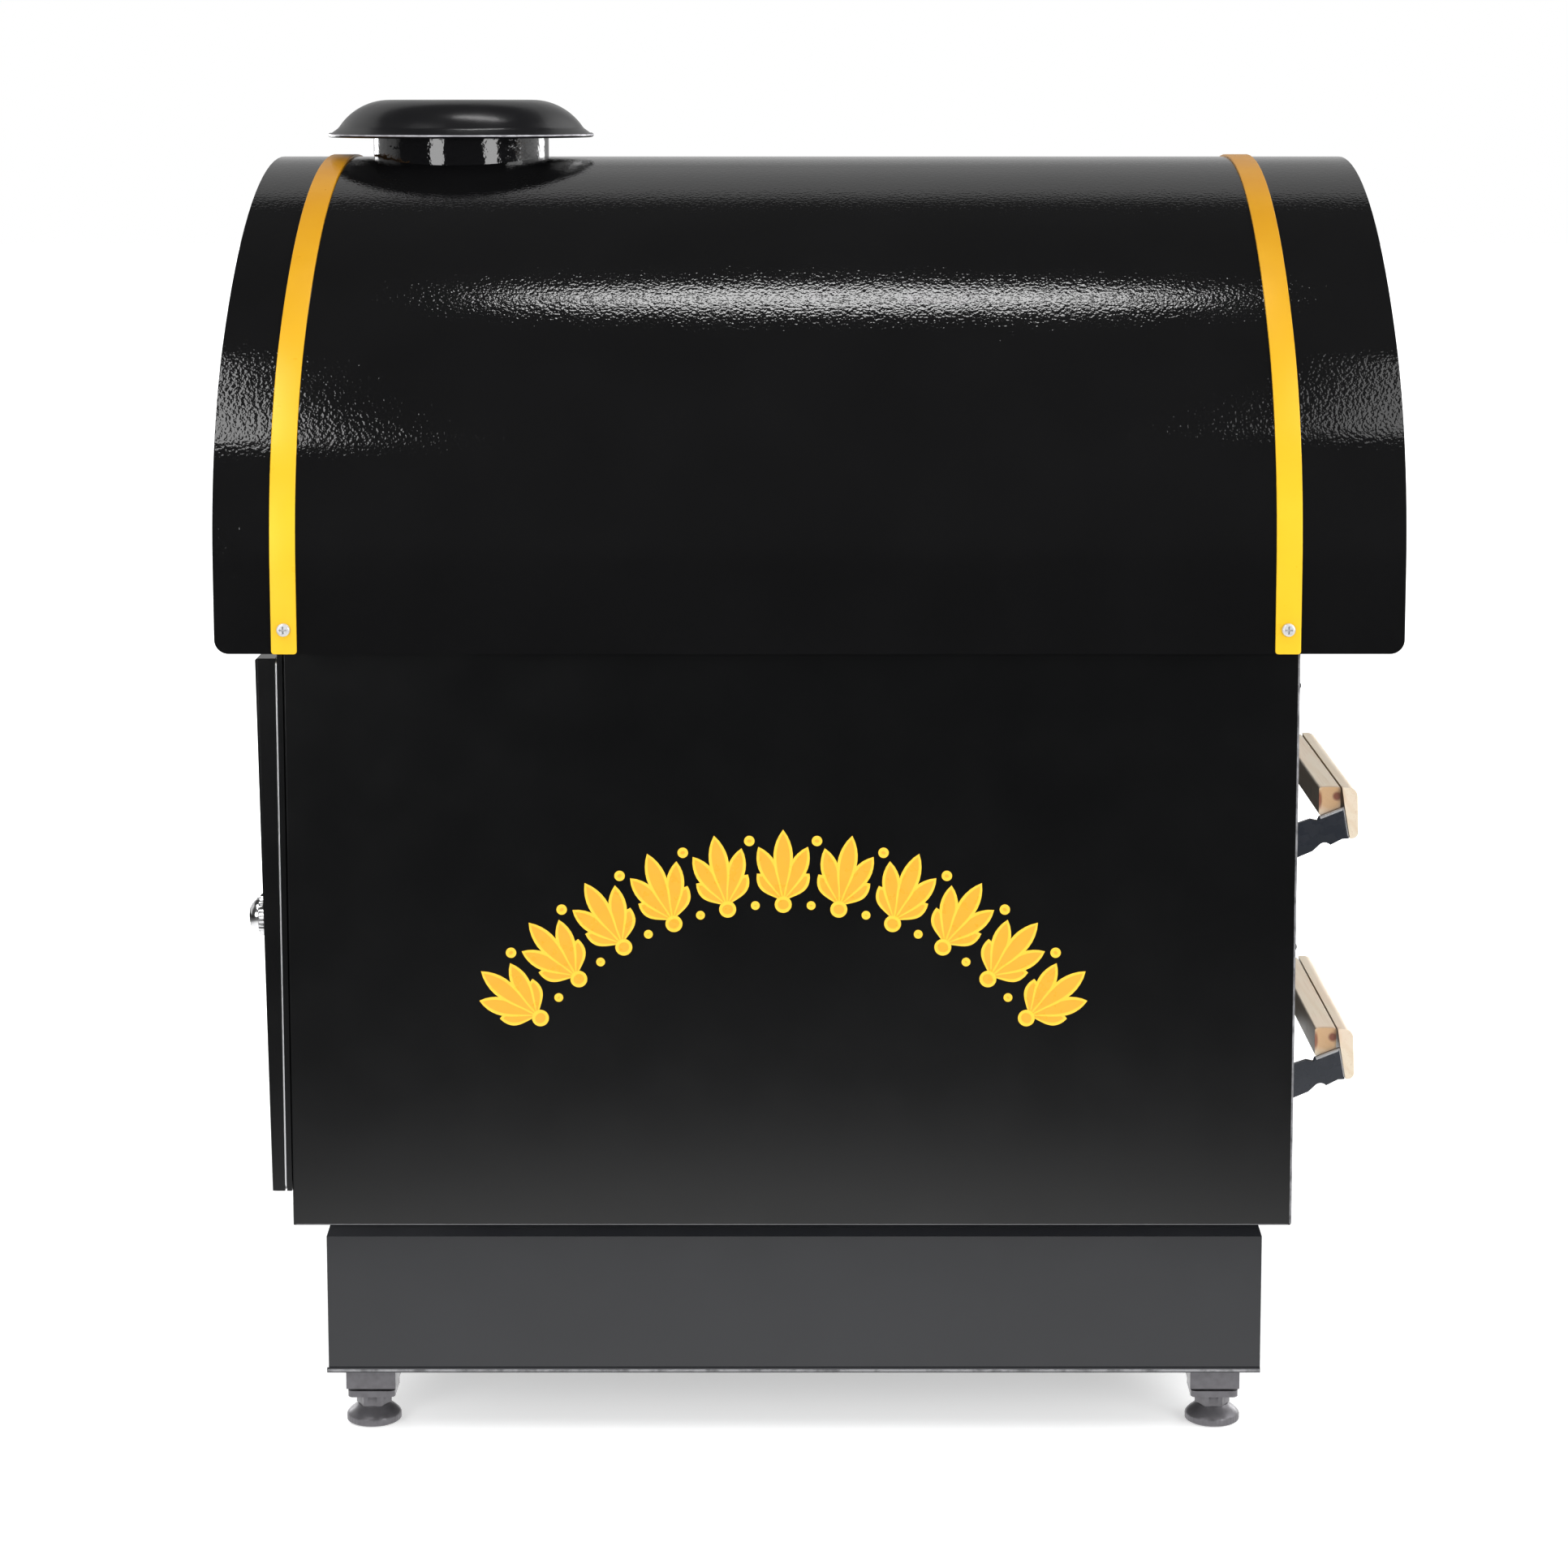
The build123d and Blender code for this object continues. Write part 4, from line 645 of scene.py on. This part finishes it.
def turned(build, stations, centre, axis, steps=48, closed=False):
    """Lathes (distance along the axis, radius) stations, in millimetres, about an axis through a centre.

    A station may end with a shape, a function of the angle. A radius of 0 closes an end.
    """
    rings = []
    for along, radius, *shape in stations:
        ring = []
        for angle in circle(steps) if radius else [0]:
            r = radius * MM * (shape[0](angle) if shape else 1)
            across, up = r * math.cos(angle), r * math.sin(angle)
            offset = (across, up, along * MM) if axis == "Z" else (along * MM, across, up)
            ring.append(Vector(centre) + Vector(offset))
        rings.append(ring)
    loft(build, rings, closed)


def add_screw(build, place, normal, radius, height, steps=24):
    """Pan head with a rounded rim and a cross recess, standing on a face. In millimetres."""
    aim = Vector((0, 0, 1)).rotation_difference(Vector(normal)).to_matrix()
    place = Vector(place) * MM
    radius, height = radius * MM, height * MM

    def ring(r, z):
        return [build.verts.new(place + aim @ Vector((r * math.cos(a), r * math.sin(a), z)))
                for a in circle(steps)]

    rims = [ring(radius, 0), ring(radius, 0.45 * height), ring(0.93 * radius, 0.75 * height),
            ring(0.78 * radius, 0.94 * height), ring(0.66 * radius, height)]
    for low, high in zip(rims, rims[1:]):
        for n in range(steps):
            m = (n + 1) % steps
            build.faces.new((low[n], low[m], high[m], high[n]))
    build.faces.new(rims[0])
    long, thin = 0.52 * radius, 0.11 * radius
    outline = [(thin, thin), (thin, long), (-thin, long), (-thin, thin), (-long, thin), (-long, -thin),
               (-thin, -thin), (-thin, -long), (thin, -long), (thin, -thin), (long, -thin), (long, thin)]
    top = [build.verts.new(place + aim @ Vector((x, y, height))) for x, y in outline]
    pit = [build.verts.new(place + aim @ Vector((x, y, 0.45 * height))) for x, y in outline]
    edges = [build.edges.get((a, b)) or build.edges.new((a, b))
             for a, b in zip(rims[-1] + top, rims[-1][1:] + rims[-1][:1] + top[1:] + top[:1])]
    bmesh.ops.triangle_fill(build, use_beauty=True, use_dissolve=False, edges=edges)
    for n in range(len(top)):
        m = (n + 1) % len(top)
        build.faces.new((top[n], top[m], pit[m], pit[n]))
    build.faces.new(pit)


def add_plate(build, outline, low, high):
    """A plate between two levels, whose outline is already placed: low and high lift (a, b) pairs."""
    near = [build.verts.new(low(a, b)) for a, b in outline]
    far = [build.verts.new(high(a, b)) for a, b in outline]
    build.faces.new(near)
    build.faces.new(far)
    for n in range(len(outline)):
        m = (n + 1) % len(outline)
        build.faces.new((near[n], near[m], far[m], far[n]))


def tube(build, path, radius, steps=10):
    """A closed round bead along a closed path that lies in one plane of constant X. In millimetres."""
    path = [Vector(point) for point in path]
    count = len(path)
    rings = []
    for n, point in enumerate(path):
        ahead = (path[(n + 1) % count] - path[n - 1]).normalized()
        across = Vector((1, 0, 0))
        outward = ahead.cross(across)
        rings.append([(point + radius * (math.cos(a) * outward + math.sin(a) * across)) * MM
                      for a in circle(steps)])
    loft(build, rings, closed=True)


def rounded_loop(x, half_y, z_low, z_high, corner, steps=6):
    """Points of a rectangle with round corners in a plane of constant X."""
    points = []
    for side, top, start in ((1, 0, -90), (1, 1, 0), (-1, 1, 90), (-1, 0, 180)):
        centre_y = side * (half_y - corner)
        centre_z = z_high - corner if top else z_low + corner
        for n in range(steps + 1):
            angle = math.radians(start + 90 * n / steps)
            points.append((x, centre_y + corner * math.cos(angle), centre_z + corner * math.sin(angle)))
    return points


welded("roof_cover", "roof_sheet", ROOF_COAT, "casing", "black_coat")
welded("trim_straps", "trim_strips", STRAP_GOLD, "casing", "brass_trim")
welded("chimney_cap", "cap_shell", GLOSS_COAT, "casing", "black_coat")
welded("chimney_pipe", "pipe_wall", PIPE_COAT, "casing", "black_coat")

FLUE_X = -192 * MM
# The bead round the cap's rim, in millimetres: its distance from the flue's axis, height and own radius
CAP_BEAD = (71.2, 649.9, 1.2)
RIM_SHEEN_LIFTS = (0.04, -0.05)            # faces of the painted highlight band, off the bead's surface
RIM_ARC = (-4, 6, 7)                # degrees where the band starts, its step and its number of steps


def add_rim_highlight():
    """Pale grey band along the outer side of the bead round the cap's rim: a painted highlight."""
    across, height, radius = CAP_BEAD
    band = []
    first, step, count = RIM_ARC
    for lift, turns in zip(RIM_SHEEN_LIFTS, (range(count), reversed(range(count)))):
        for n in turns:
            a = math.radians(first + step * n)
            band.append((height + (radius + lift) * math.sin(a), across + (radius + lift) * math.cos(a)))
    build = bmesh.new()
    turned(build, band, (FLUE_X, 0, 0), "Z", 144, True)
    piece(build, "cap_rim_highlight", RIM_SHEEN_PAINT, "casing", "bright_screws")


add_rim_highlight()


# --- Ornament -----------------------------------------------------------------------------------
ARCH_CENTRE = (-13 * MM, 122 * MM)   # X and Z
ARCH_FOOT = 156 * MM                 # radius of the palmettes' feet
ARCH_HALF_ANGLE = 51                 # degrees each side of upright
PALMETTES = 11
PETALS = ((0, 36, 9.6, 2), (24, 30, 9.0, 1), (-24, 30, 9.0, 1), (43, 19, 8.0, 0), (-43, 19, 8.0, 0))
ENAMEL_RIM = 1.5 * MM
ENAMEL_STEP = 0.12 * MM
PANEL_FACE_Y = 252 * MM


def petal_outline(reach, width, steps=12):
    """Pointed oval from its foot to its tip, widest beyond the middle, as (across, along) pairs."""
    side = []
    for n in range(1, steps):
        t = n / steps
        side.append((0.5 * width * math.sin(math.pi * t**1.45) ** 0.85, reach * t))
    return [(0, 0), *side, (0, reach), *[(-a, b) for a, b in reversed(side)]]


def round_outline(radius, along, steps=20):
    return [(radius * math.cos(a), along + radius * math.sin(a)) for a in circle(steps)]


def shrunk(outline, rim):
    """The outline pulled in by a rim, towards its middle."""
    low, high = min(b for _, b in outline), max(b for _, b in outline)
    width = max(a for a, _ in outline)
    middle, half = (low + high) / 2, (high - low) / 2
    across, along = (width - rim) / width, (half - 1.2 * rim) / half
    return [(a * across, middle + (b - middle) * along) for a, b in outline]


def add_ornament(side, name):
    """A traditional arch of palmettes with beads between them, in orange edged with yellow."""
    builds = {"edging": bmesh.new(), "fill": bmesh.new()}

    def enamel_pair(outline, turn, angle, foot, level):
        """One shape as a yellow plate with a smaller orange plate on it."""
        tilt = math.radians(turn)

        def placed(lift):
            def place(a, b):
                across = a * math.cos(tilt) + b * math.sin(tilt)
                r = foot + b * math.cos(tilt) - a * math.sin(tilt)
                return (ARCH_CENTRE[0] + r * math.sin(angle) + across * math.cos(angle),
                        side * (PANEL_FACE_Y + lift),
                        ARCH_CENTRE[1] + r * math.cos(angle) - across * math.sin(angle))
            return place

        base = 0.02 * MM + level * ENAMEL_STEP
        fill = shrunk(outline, ENAMEL_RIM)
        for kind, shape, low, high in (("edging", outline, 0, 0.10), ("fill", fill, 0.05, 0.20)):
            add_plate(builds[kind], shape, placed(base + low * MM), placed(base + high * MM))

    half = math.radians(ARCH_HALF_ANGLE)
    pitch = 2 * half / (PALMETTES - 1)
    for n in range(PALMETTES):
        angle = -half + n * pitch
        for turn, reach, width, level in PETALS:
            enamel_pair(petal_outline(reach * MM, width * MM), turn, angle, ARCH_FOOT, level)
        enamel_pair(round_outline(4.2 * MM, -1.5 * MM), 0, angle, ARCH_FOOT, 3)
        if n < PALMETTES - 1:
            enamel_pair(round_outline(2.6 * MM, 0), 0, angle + pitch / 2, ARCH_FOOT + 31 * MM, 0)
            enamel_pair(round_outline(2.2 * MM, 0), 0, angle + pitch / 2, ARCH_FOOT - 1.5 * MM, 0)
    for kind, material in (("edging", YELLOW_ENAMEL), ("fill", ORANGE_ENAMEL)):
        piece(builds[kind], f"{name}_{kind}", material, "casing", "brass_trim", crease=ENAMEL_CREASE)


add_ornament(-1, "near_ornament")
add_ornament(1, "far_ornament")


# --- Rear cover nuts, seams and gland -----------------------------------------------------------
def add_cover_nuts():
    """Knurled thumb nuts with domed tips that hold the rear cover."""
    grip = knurl(26, 0.07)
    build = bmesh.new()
    for side in (-1, 1):
        stations = [(-269.6, 0), (-269.6, 9.6), (-270.0, 10.4), (-270.2, 10.4, grip), (-273.6, 10.4, grip),
                    (-273.8, 10.2), (-274.2, 9.2), (-274.4, 8.5), (-275.6, 8.4), (-277.4, 7.6),
                    (-278.7, 6.0), (-279.3, 3.6), (-279.5, 0)]
        turned(build, stations, (0, side * 228 * MM, 266 * MM), "X", 104)
    piece(build, "knurled_nuts", SCREW_CHROME, "casing", "bright_screws", "cover_nuts", crease=TURNED_CREASE)


def add_gland():
    """Cord gland: hexagon against the plinth, ribbed cap and a thread inside."""
    ribs = knurl(12, 0.10)
    stations = [(-230.4, 4.2), (-230.4, 7.6), (-230.8, 8.0)]
    stations += [(-231.4 - 0.5 * n, 7.5 if n % 2 else 8.0) for n in range(21)]
    stations += [(-242.4, 8.0), (-242.4, 9.5), (-242.5, 9.5, hexagon), (-246.2, 9.5, hexagon),
                 (-246.6, 9.2), (-246.8, 8.6), (-247.2, 9.0, ribs), (-252.8, 9.0, ribs),
                 (-253.6, 8.0), (-254.8, 6.4), (-255.4, 5.4), (-255.4, 4.2)]
    build = bmesh.new()
    turned(build, stations, (0, 150 * MM, 70 * MM), "X", 72, True)
    piece(build, "ribbed_gland", BLACK_PLASTIC, "casing", "black_plastic",
          "cable_gland", crease=TURNED_CREASE)


def add_bead(build, side, start, end, half, proud):
    """Bead of elliptical section on a side wall, proud across the wall and half wide along it."""
    across = Vector((0, 0, half)) if start[0] != end[0] else Vector((half, 0, 0))
    rings = []
    for x, y, z in (start, end):
        place = Vector((x, side * y, z))
        rings.append([(place + math.sin(a) * across + Vector((0, side * proud * math.cos(a), 0))) * MM
                      for a in circle(12)])
    closed_loft(build, rings)


def add_seams():
    """Bright bead along the open edge of the rear cover, a thin steel bead under each side panel for its
    bare edge and the painted highlight on it, and grey beads that paint the highlights along the panels'
    front edges and the plinth's hem.
    """
    build = bmesh.new()
    tube(build, rounded_loop(-260.6, 251.6, 131.6, 398.4, 3), 0.5, 8)
    piece(build, "cover_seam_bead", SEAM_STEEL, "casing", "bright_screws")
    edges = {
        # name: material, then start, end, half width and height of the bead for the near side
        # The bottom beads stand for the panels' bare edges with a painted highlight; the front and hem beads
        # are painted highlights.
        "panel_bare_edges_and_sheen": (BARE_EDGE_AND_SHEEN_STEEL, (-256.0, 251.35, 113.9), (238.2, 251.35, 113.9), 0.42, 0.72),
        "front_edge_highlights": (SHEEN_EDGE_PAINT, (239.2, 251.5, 114.2), (239.2, 251.5, 401.0), 0.62, 0.66),
        "hem_edge_highlights": (SHEEN_EDGE_PAINT, (-242.9, 241.5, 34.6), (226.3, 241.5, 34.6), 0.95, 0.42),
    }
    for name, (material, start, end, half, proud) in edges.items():
        build = bmesh.new()
        for side in (-1, 1):
            add_bead(build, side, start, end, half, proud)
        piece(build, name, material, "casing", "bright_screws")


add_cover_nuts()
add_gland()
add_seams()


# --- Feet ---------------------------------------------------------------------------------------
def add_foot(name, x, y):
    """Levelling foot: disc with a knurled rim, dome, hexagon and threaded stud."""
    rim = knurl(40, 0.028)
    stations = [(0, 0), (0, 12.6), (0.3, 13.2), (0.8, 13.95, rim), (3.4, 13.95, rim),
                (3.8, 13.7), (4.6, 13.1), (5.6, 12.1), (6.6, 10.9), (7.6, 9.6),
                (8.4, 8.7), (9.0, 8.2), (9.0, 7.7, hexagon), (14.5, 7.7, hexagon),
                (15.05, 7.5), (15.05, 5.0)]
    stations += [(15.3 + 0.7 * n, 4.4 if n % 2 else 4.95) for n in range(60)]
    stations += [(57.4, 4.4), (57.9, 3.8), (57.9, 0)]
    build = bmesh.new()
    turned(build, stations, (x, y, 0), "Z", 120)
    piece(build, f"{name}_knurled", FOOT_ZINC, name, "foot_steel", name, crease=TURNED_CREASE)


for end, foot_x in (("rear", -0.223), ("front", 0.2054)):
    for side, foot_y in (("near", -0.216), ("far", 0.216)):
        add_foot(f"{end}_{side}_foot", foot_x, foot_y)


# --- Door furniture, in millimetres -------------------------------------------------------------
DOORS = {"lower": 120.0, "upper": 253.0}
PIN_ABOVE = 127.0                   # from the bottom of a door to its hinge pin
HINGE_FACE_X = 242.2
FOLD_MITRE = (0.875, -0.485)        # across the corner where the two folds of a bracket arm meet, X and Z
FOLD_RADIUS = 1.3
FOLD_SHEEN_LIFT = 0.05                    # how far the painted highlight stands out of the fold, and sits in it
FOLD_WELD = 1e-7                    # in metres, as WELD is
ARM_FACE_Y = 84.0
GASKET = (221.74, 222.4, 3.6, 121.4)    # X, half width, then bottom and top above the bottom of the door
GASKET_CORNER, GASKET_RADIUS = 6.0, 1.42
HINGE_Y, HINGE_SCREW_PITCH = 188.0, 22.0
LEAF_SCREW = (2.6, 1.1)             # radius and height of a screw's head
BRACKET_SCREWS = ((67, 7), (67, 17), (76, 12))      # Y, and height above the bottom of the door
FIXED_LEAF_FACE_X = 240.7


def add_fold(build, side, start, corner, arc, steps=8):
    """Pale zinc strip along the rounded fold of a bracket arm, a painted highlight, from start to a mitred
    corner, both in X and Z.

    It lies on the fold between two angles round it, counted from the arm's outer face.
    """
    start, corner, mitre = (Vector((x, side * ARM_FACE_Y, z)) for x, z in (start, corner, FOLD_MITRE))
    mitre.y = 0
    along = (corner - start).normalized()
    out = Vector((0, side, 0))
    up = Vector((abs(along.z), 0, abs(along.x)))
    if along.x > 0:
        up.x = -up.x
    rings = []
    for place in (start, corner):
        ring = []
        for lift, turns in ((FOLD_SHEEN_LIFT, range(steps + 1)), (-FOLD_SHEEN_LIFT, range(steps, -1, -1))):
            for n in turns:
                a = math.radians(arc[0] + (arc[1] - arc[0]) * n / steps)
                point = place - FOLD_RADIUS * (out + up)
                point += (FOLD_RADIUS + lift) * (math.cos(a) * out + math.sin(a) * up)
                if place is corner:
                    point -= along * ((point - corner).dot(mitre) / along.dot(mitre))
                ring.append(point * MM)
        rings.append(ring)
    closed_loft(build, rings, FOLD_WELD)


def add_leaf_screws(build, side, face_x, z):
    """The three screws of one hinge leaf."""
    for offset in (-HINGE_SCREW_PITCH, 0, HINGE_SCREW_PITCH):
        add_screw(build, (face_x, side * HINGE_Y + offset, z), (1, 0, 0), *LEAF_SCREW)


def add_door_furniture(door, bottom):
    """Rope gasket, hinge screws, handle screws and the painted highlights on the bracket folds of one door,
    all riding on it.
    """
    body = f"{door}_door"
    build = bmesh.new()
    x, half_y, low, high = GASKET
    tube(build, rounded_loop(x, half_y, bottom + low, bottom + high, GASKET_CORNER), GASKET_RADIUS, 12)
    piece(build, f"{door}_door_gasket", BRAID, body, "mineral_wool")
    build = bmesh.new()
    for side in (-1, 1):
        add_leaf_screws(build, side, HINGE_FACE_X, bottom + PIN_ABOVE - 9.4)
        for y, z in BRACKET_SCREWS:
            add_screw(build, (243.0, side * y, bottom + z), (1, 0, 0), 2.4, 1.3)
        add_screw(build, (283.7, side * 71, bottom + 27.2), (-1, 0, 0), 2.6, 1.2)
    piece(build, f"{door}_door_screws", SCREW_CHROME, body, "bright_screws", crease=SCREW_CREASE)
    # Painted highlights: pale zinc strips along the folded top and front edges of the bracket arms.
    build = bmesh.new()
    corner = (286.7, bottom + 38.6)
    for side in (-1, 1):
        for start, arc in (((273.6, bottom + 33.36), (0, 90)), ((289.5, bottom + 22.6), (34, 76))):
            add_fold(build, side, start, corner, arc)
    piece(build, f"{door}_bracket_folds", SCREW_ZINC, body, "bright_screws")


for door, bottom in DOORS.items():
    add_door_furniture(door, bottom)

build = bmesh.new()
for side in (-1, 1):
    add_leaf_screws(build, side, FIXED_LEAF_FACE_X, DOORS["upper"] + PIN_ABOVE + 8.6)
piece(build, "fixed_leaf_screws", SCREW_CHROME, "casing", "bright_screws", crease=SCREW_CREASE)


# --- Controls, in millimetres -------------------------------------------------------------------
PANEL_X = 226.6
CONTROL_Z = 72.0
DIALS = {"thermostat": (45.0, 270, 5, 50), "timer": (-35.0, 300, 6, 10)}   # Y, sweep, steps, units per step
PRINT = 0.06                        # thickness of the print
TICK_FOOT = 20.6                    # radius where every tick starts
LONG_TICK, SHORT_TICK = (23.8, 0.4), (22.2, 0.22)       # radius of its end, and half its width
TICKS_PER_STEP = 4
NUMBERS_ACROSS, NUMBERS_UP, NUMBER_HEIGHT = 28.2, 27.6, 4.6
KNOB_FACE_X = 244.5
POINTER = ((-0.7, 3.5), (0.7, 3.5), (0.7, 14.6), (0, 15.4), (-0.7, 14.6))


def on_panel(y, z, lift):
    """Places (right, up) pairs on the control panel about a point, lifted off its face."""
    return lambda a, b: ((PANEL_X + lift) * MM, (y + a) * MM, (z + b) * MM)


def add_number(build, text, y, z, height):
    """Digits as a thin flat mesh on the control panel."""
    curve = bpy.data.curves.new("digits", "FONT")
    curve.body = text
    curve.size = height * MM
    curve.align_x, curve.align_y = "CENTER", "CENTER"
    curve.extrude = PRINT / 2 * MM
    carrier = bpy.data.objects.new("digits", curve)
    bpy.context.scene.collection.objects.link(carrier)
    bpy.context.view_layer.update()
    mesh = bpy.data.meshes.new_from_object(carrier.evaluated_get(bpy.context.evaluated_depsgraph_get()))
    rows = ((0, 0, 1, (PANEL_X + PRINT) * MM), (1, 0, 0, y * MM), (0, 1, 0, z * MM), (0, 0, 0, 1))
    mesh.transform(Matrix(rows))
    build.from_mesh(mesh)
    bpy.data.objects.remove(carrier)
    bpy.data.curves.remove(curve)
    bpy.data.meshes.remove(mesh)


def turned_bar(angle, inner, outer, half):
    """Outline of a short radial bar at a clockwise angle from upright."""
    s, c = math.sin(math.radians(angle)), math.cos(math.radians(angle))
    corners = ((inner, -half), (outer, -half), (outer, half), (inner, half))
    return [(r * s + w * c, r * c - w * s) for r, w in corners]


build = bmesh.new()
for y, sweep, steps, units in DIALS.values():
    ticks = TICKS_PER_STEP * steps
    for n in range(ticks + 1):
        major = n % TICKS_PER_STEP == 0
        bar = turned_bar(sweep * n / ticks, TICK_FOOT, *(LONG_TICK if major else SHORT_TICK))
        add_plate(build, bar, on_panel(y, CONTROL_Z, 0.01), on_panel(y, CONTROL_Z, PRINT + 0.03))
        if major:
            turn = math.radians(sweep * n / ticks)
            add_number(build, str(units * n // TICKS_PER_STEP), y + NUMBERS_ACROSS * math.sin(turn),
                       CONTROL_Z + NUMBERS_UP * math.cos(turn), NUMBER_HEIGHT)
piece(build, "dial_print", WHITE_PRINT, "casing", "terminal_plastic")

for knob, (y, *_) in DIALS.items():
    build = bmesh.new()
    tip = KNOB_FACE_X - PANEL_X
    add_plate(build, POINTER, on_panel(y, CONTROL_Z, tip - 0.05), on_panel(y, CONTROL_Z, tip + 0.03))
    piece(build, f"{knob}_pointer", WHITE_PRINT, f"{knob}_knob", "terminal_plastic")

ROCKERS = {"main": 125.0, "lamp": 165.0}    # Y
ROCKER_PIVOT_X = 221.5
ROCKER_TILT = math.radians(8.0)     # at rest
PADDLE_OUT = 4.2                    # from the pivot to the middle of the paddle
PADDLE_DISH, PADDLE_HALF = 1.6, 8.0     # how far its ends stand out beyond its middle, and half its height
DISH_TURN = math.atan2(PADDLE_DISH, PADDLE_HALF)
MARK_MIDDLE = 4.4                   # from the middle of the paddle
MARK_SUNK, MARK_PROUD = -0.03, 0.05
STROKE = ((-0.35, -1.6), (0.35, -1.6), (0.35, 1.6), (-0.35, 1.6))
RING_OUTER, RING_INNER = 1.75, 1.15


def on_paddle(y, half, lift):
    """Places (right, up) pairs on the upper (1) or lower (-1) face of a dished paddle, lifted off it."""
    def place(a, b):
        along = half * MARK_MIDDLE + b
        out = PADDLE_OUT + PADDLE_DISH * abs(along) / PADDLE_HALF + lift / math.cos(DISH_TURN)
        x = out * math.cos(ROCKER_TILT) + along * math.sin(ROCKER_TILT)
        z = -out * math.sin(ROCKER_TILT) + along * math.cos(ROCKER_TILT)
        return ((ROCKER_PIVOT_X + x) * MM, (y + a) * MM, (CONTROL_Z + z) * MM)
    return place


def add_rocker_marks(rocker, y):
    """Stroke on the upper half of a rocker and ring on its lower half."""
    build = bmesh.new()
    add_plate(build, STROKE, on_paddle(y, 1, MARK_SUNK), on_paddle(y, 1, MARK_PROUD))
    rings = []
    for radius, lift in ((RING_OUTER, MARK_SUNK), (RING_OUTER, MARK_PROUD),
                         (RING_INNER, MARK_PROUD), (RING_INNER, MARK_SUNK)):
        place = on_paddle(y, -1, lift)
        rings.append([place(radius * math.cos(a), radius * math.sin(a)) for a in circle(28)])
    loft(build, rings, closed=True)
    piece(build, f"{rocker}_rocker_marks", WHITE_PRINT, f"{rocker}_rocker", "terminal_plastic")


for rocker, y in ROCKERS.items():
    add_rocker_marks(rocker, y)


# --- Lamp ---------------------------------------------------------------------------------------
build = bmesh.new()
for end, way in ((-99.8, 1), (199.8, -1)):
    stations = [(0.0, 6.0), (0.0, 8.3), (0.3, 8.6), (9.0, 8.6), (9.5, 8.25),
                (9.5, 8.02), (0.6, 8.02), (0.6, 6.0)]
    turned(build, [(end + way * s, r) for s, r in stations], (0, 0, 604 * MM), "X", 40, True)
piece(build, "lamp_end_caps", TRACK_ALUMINIUM, "casing", "track_aluminium", crease=TURNED_CREASE)
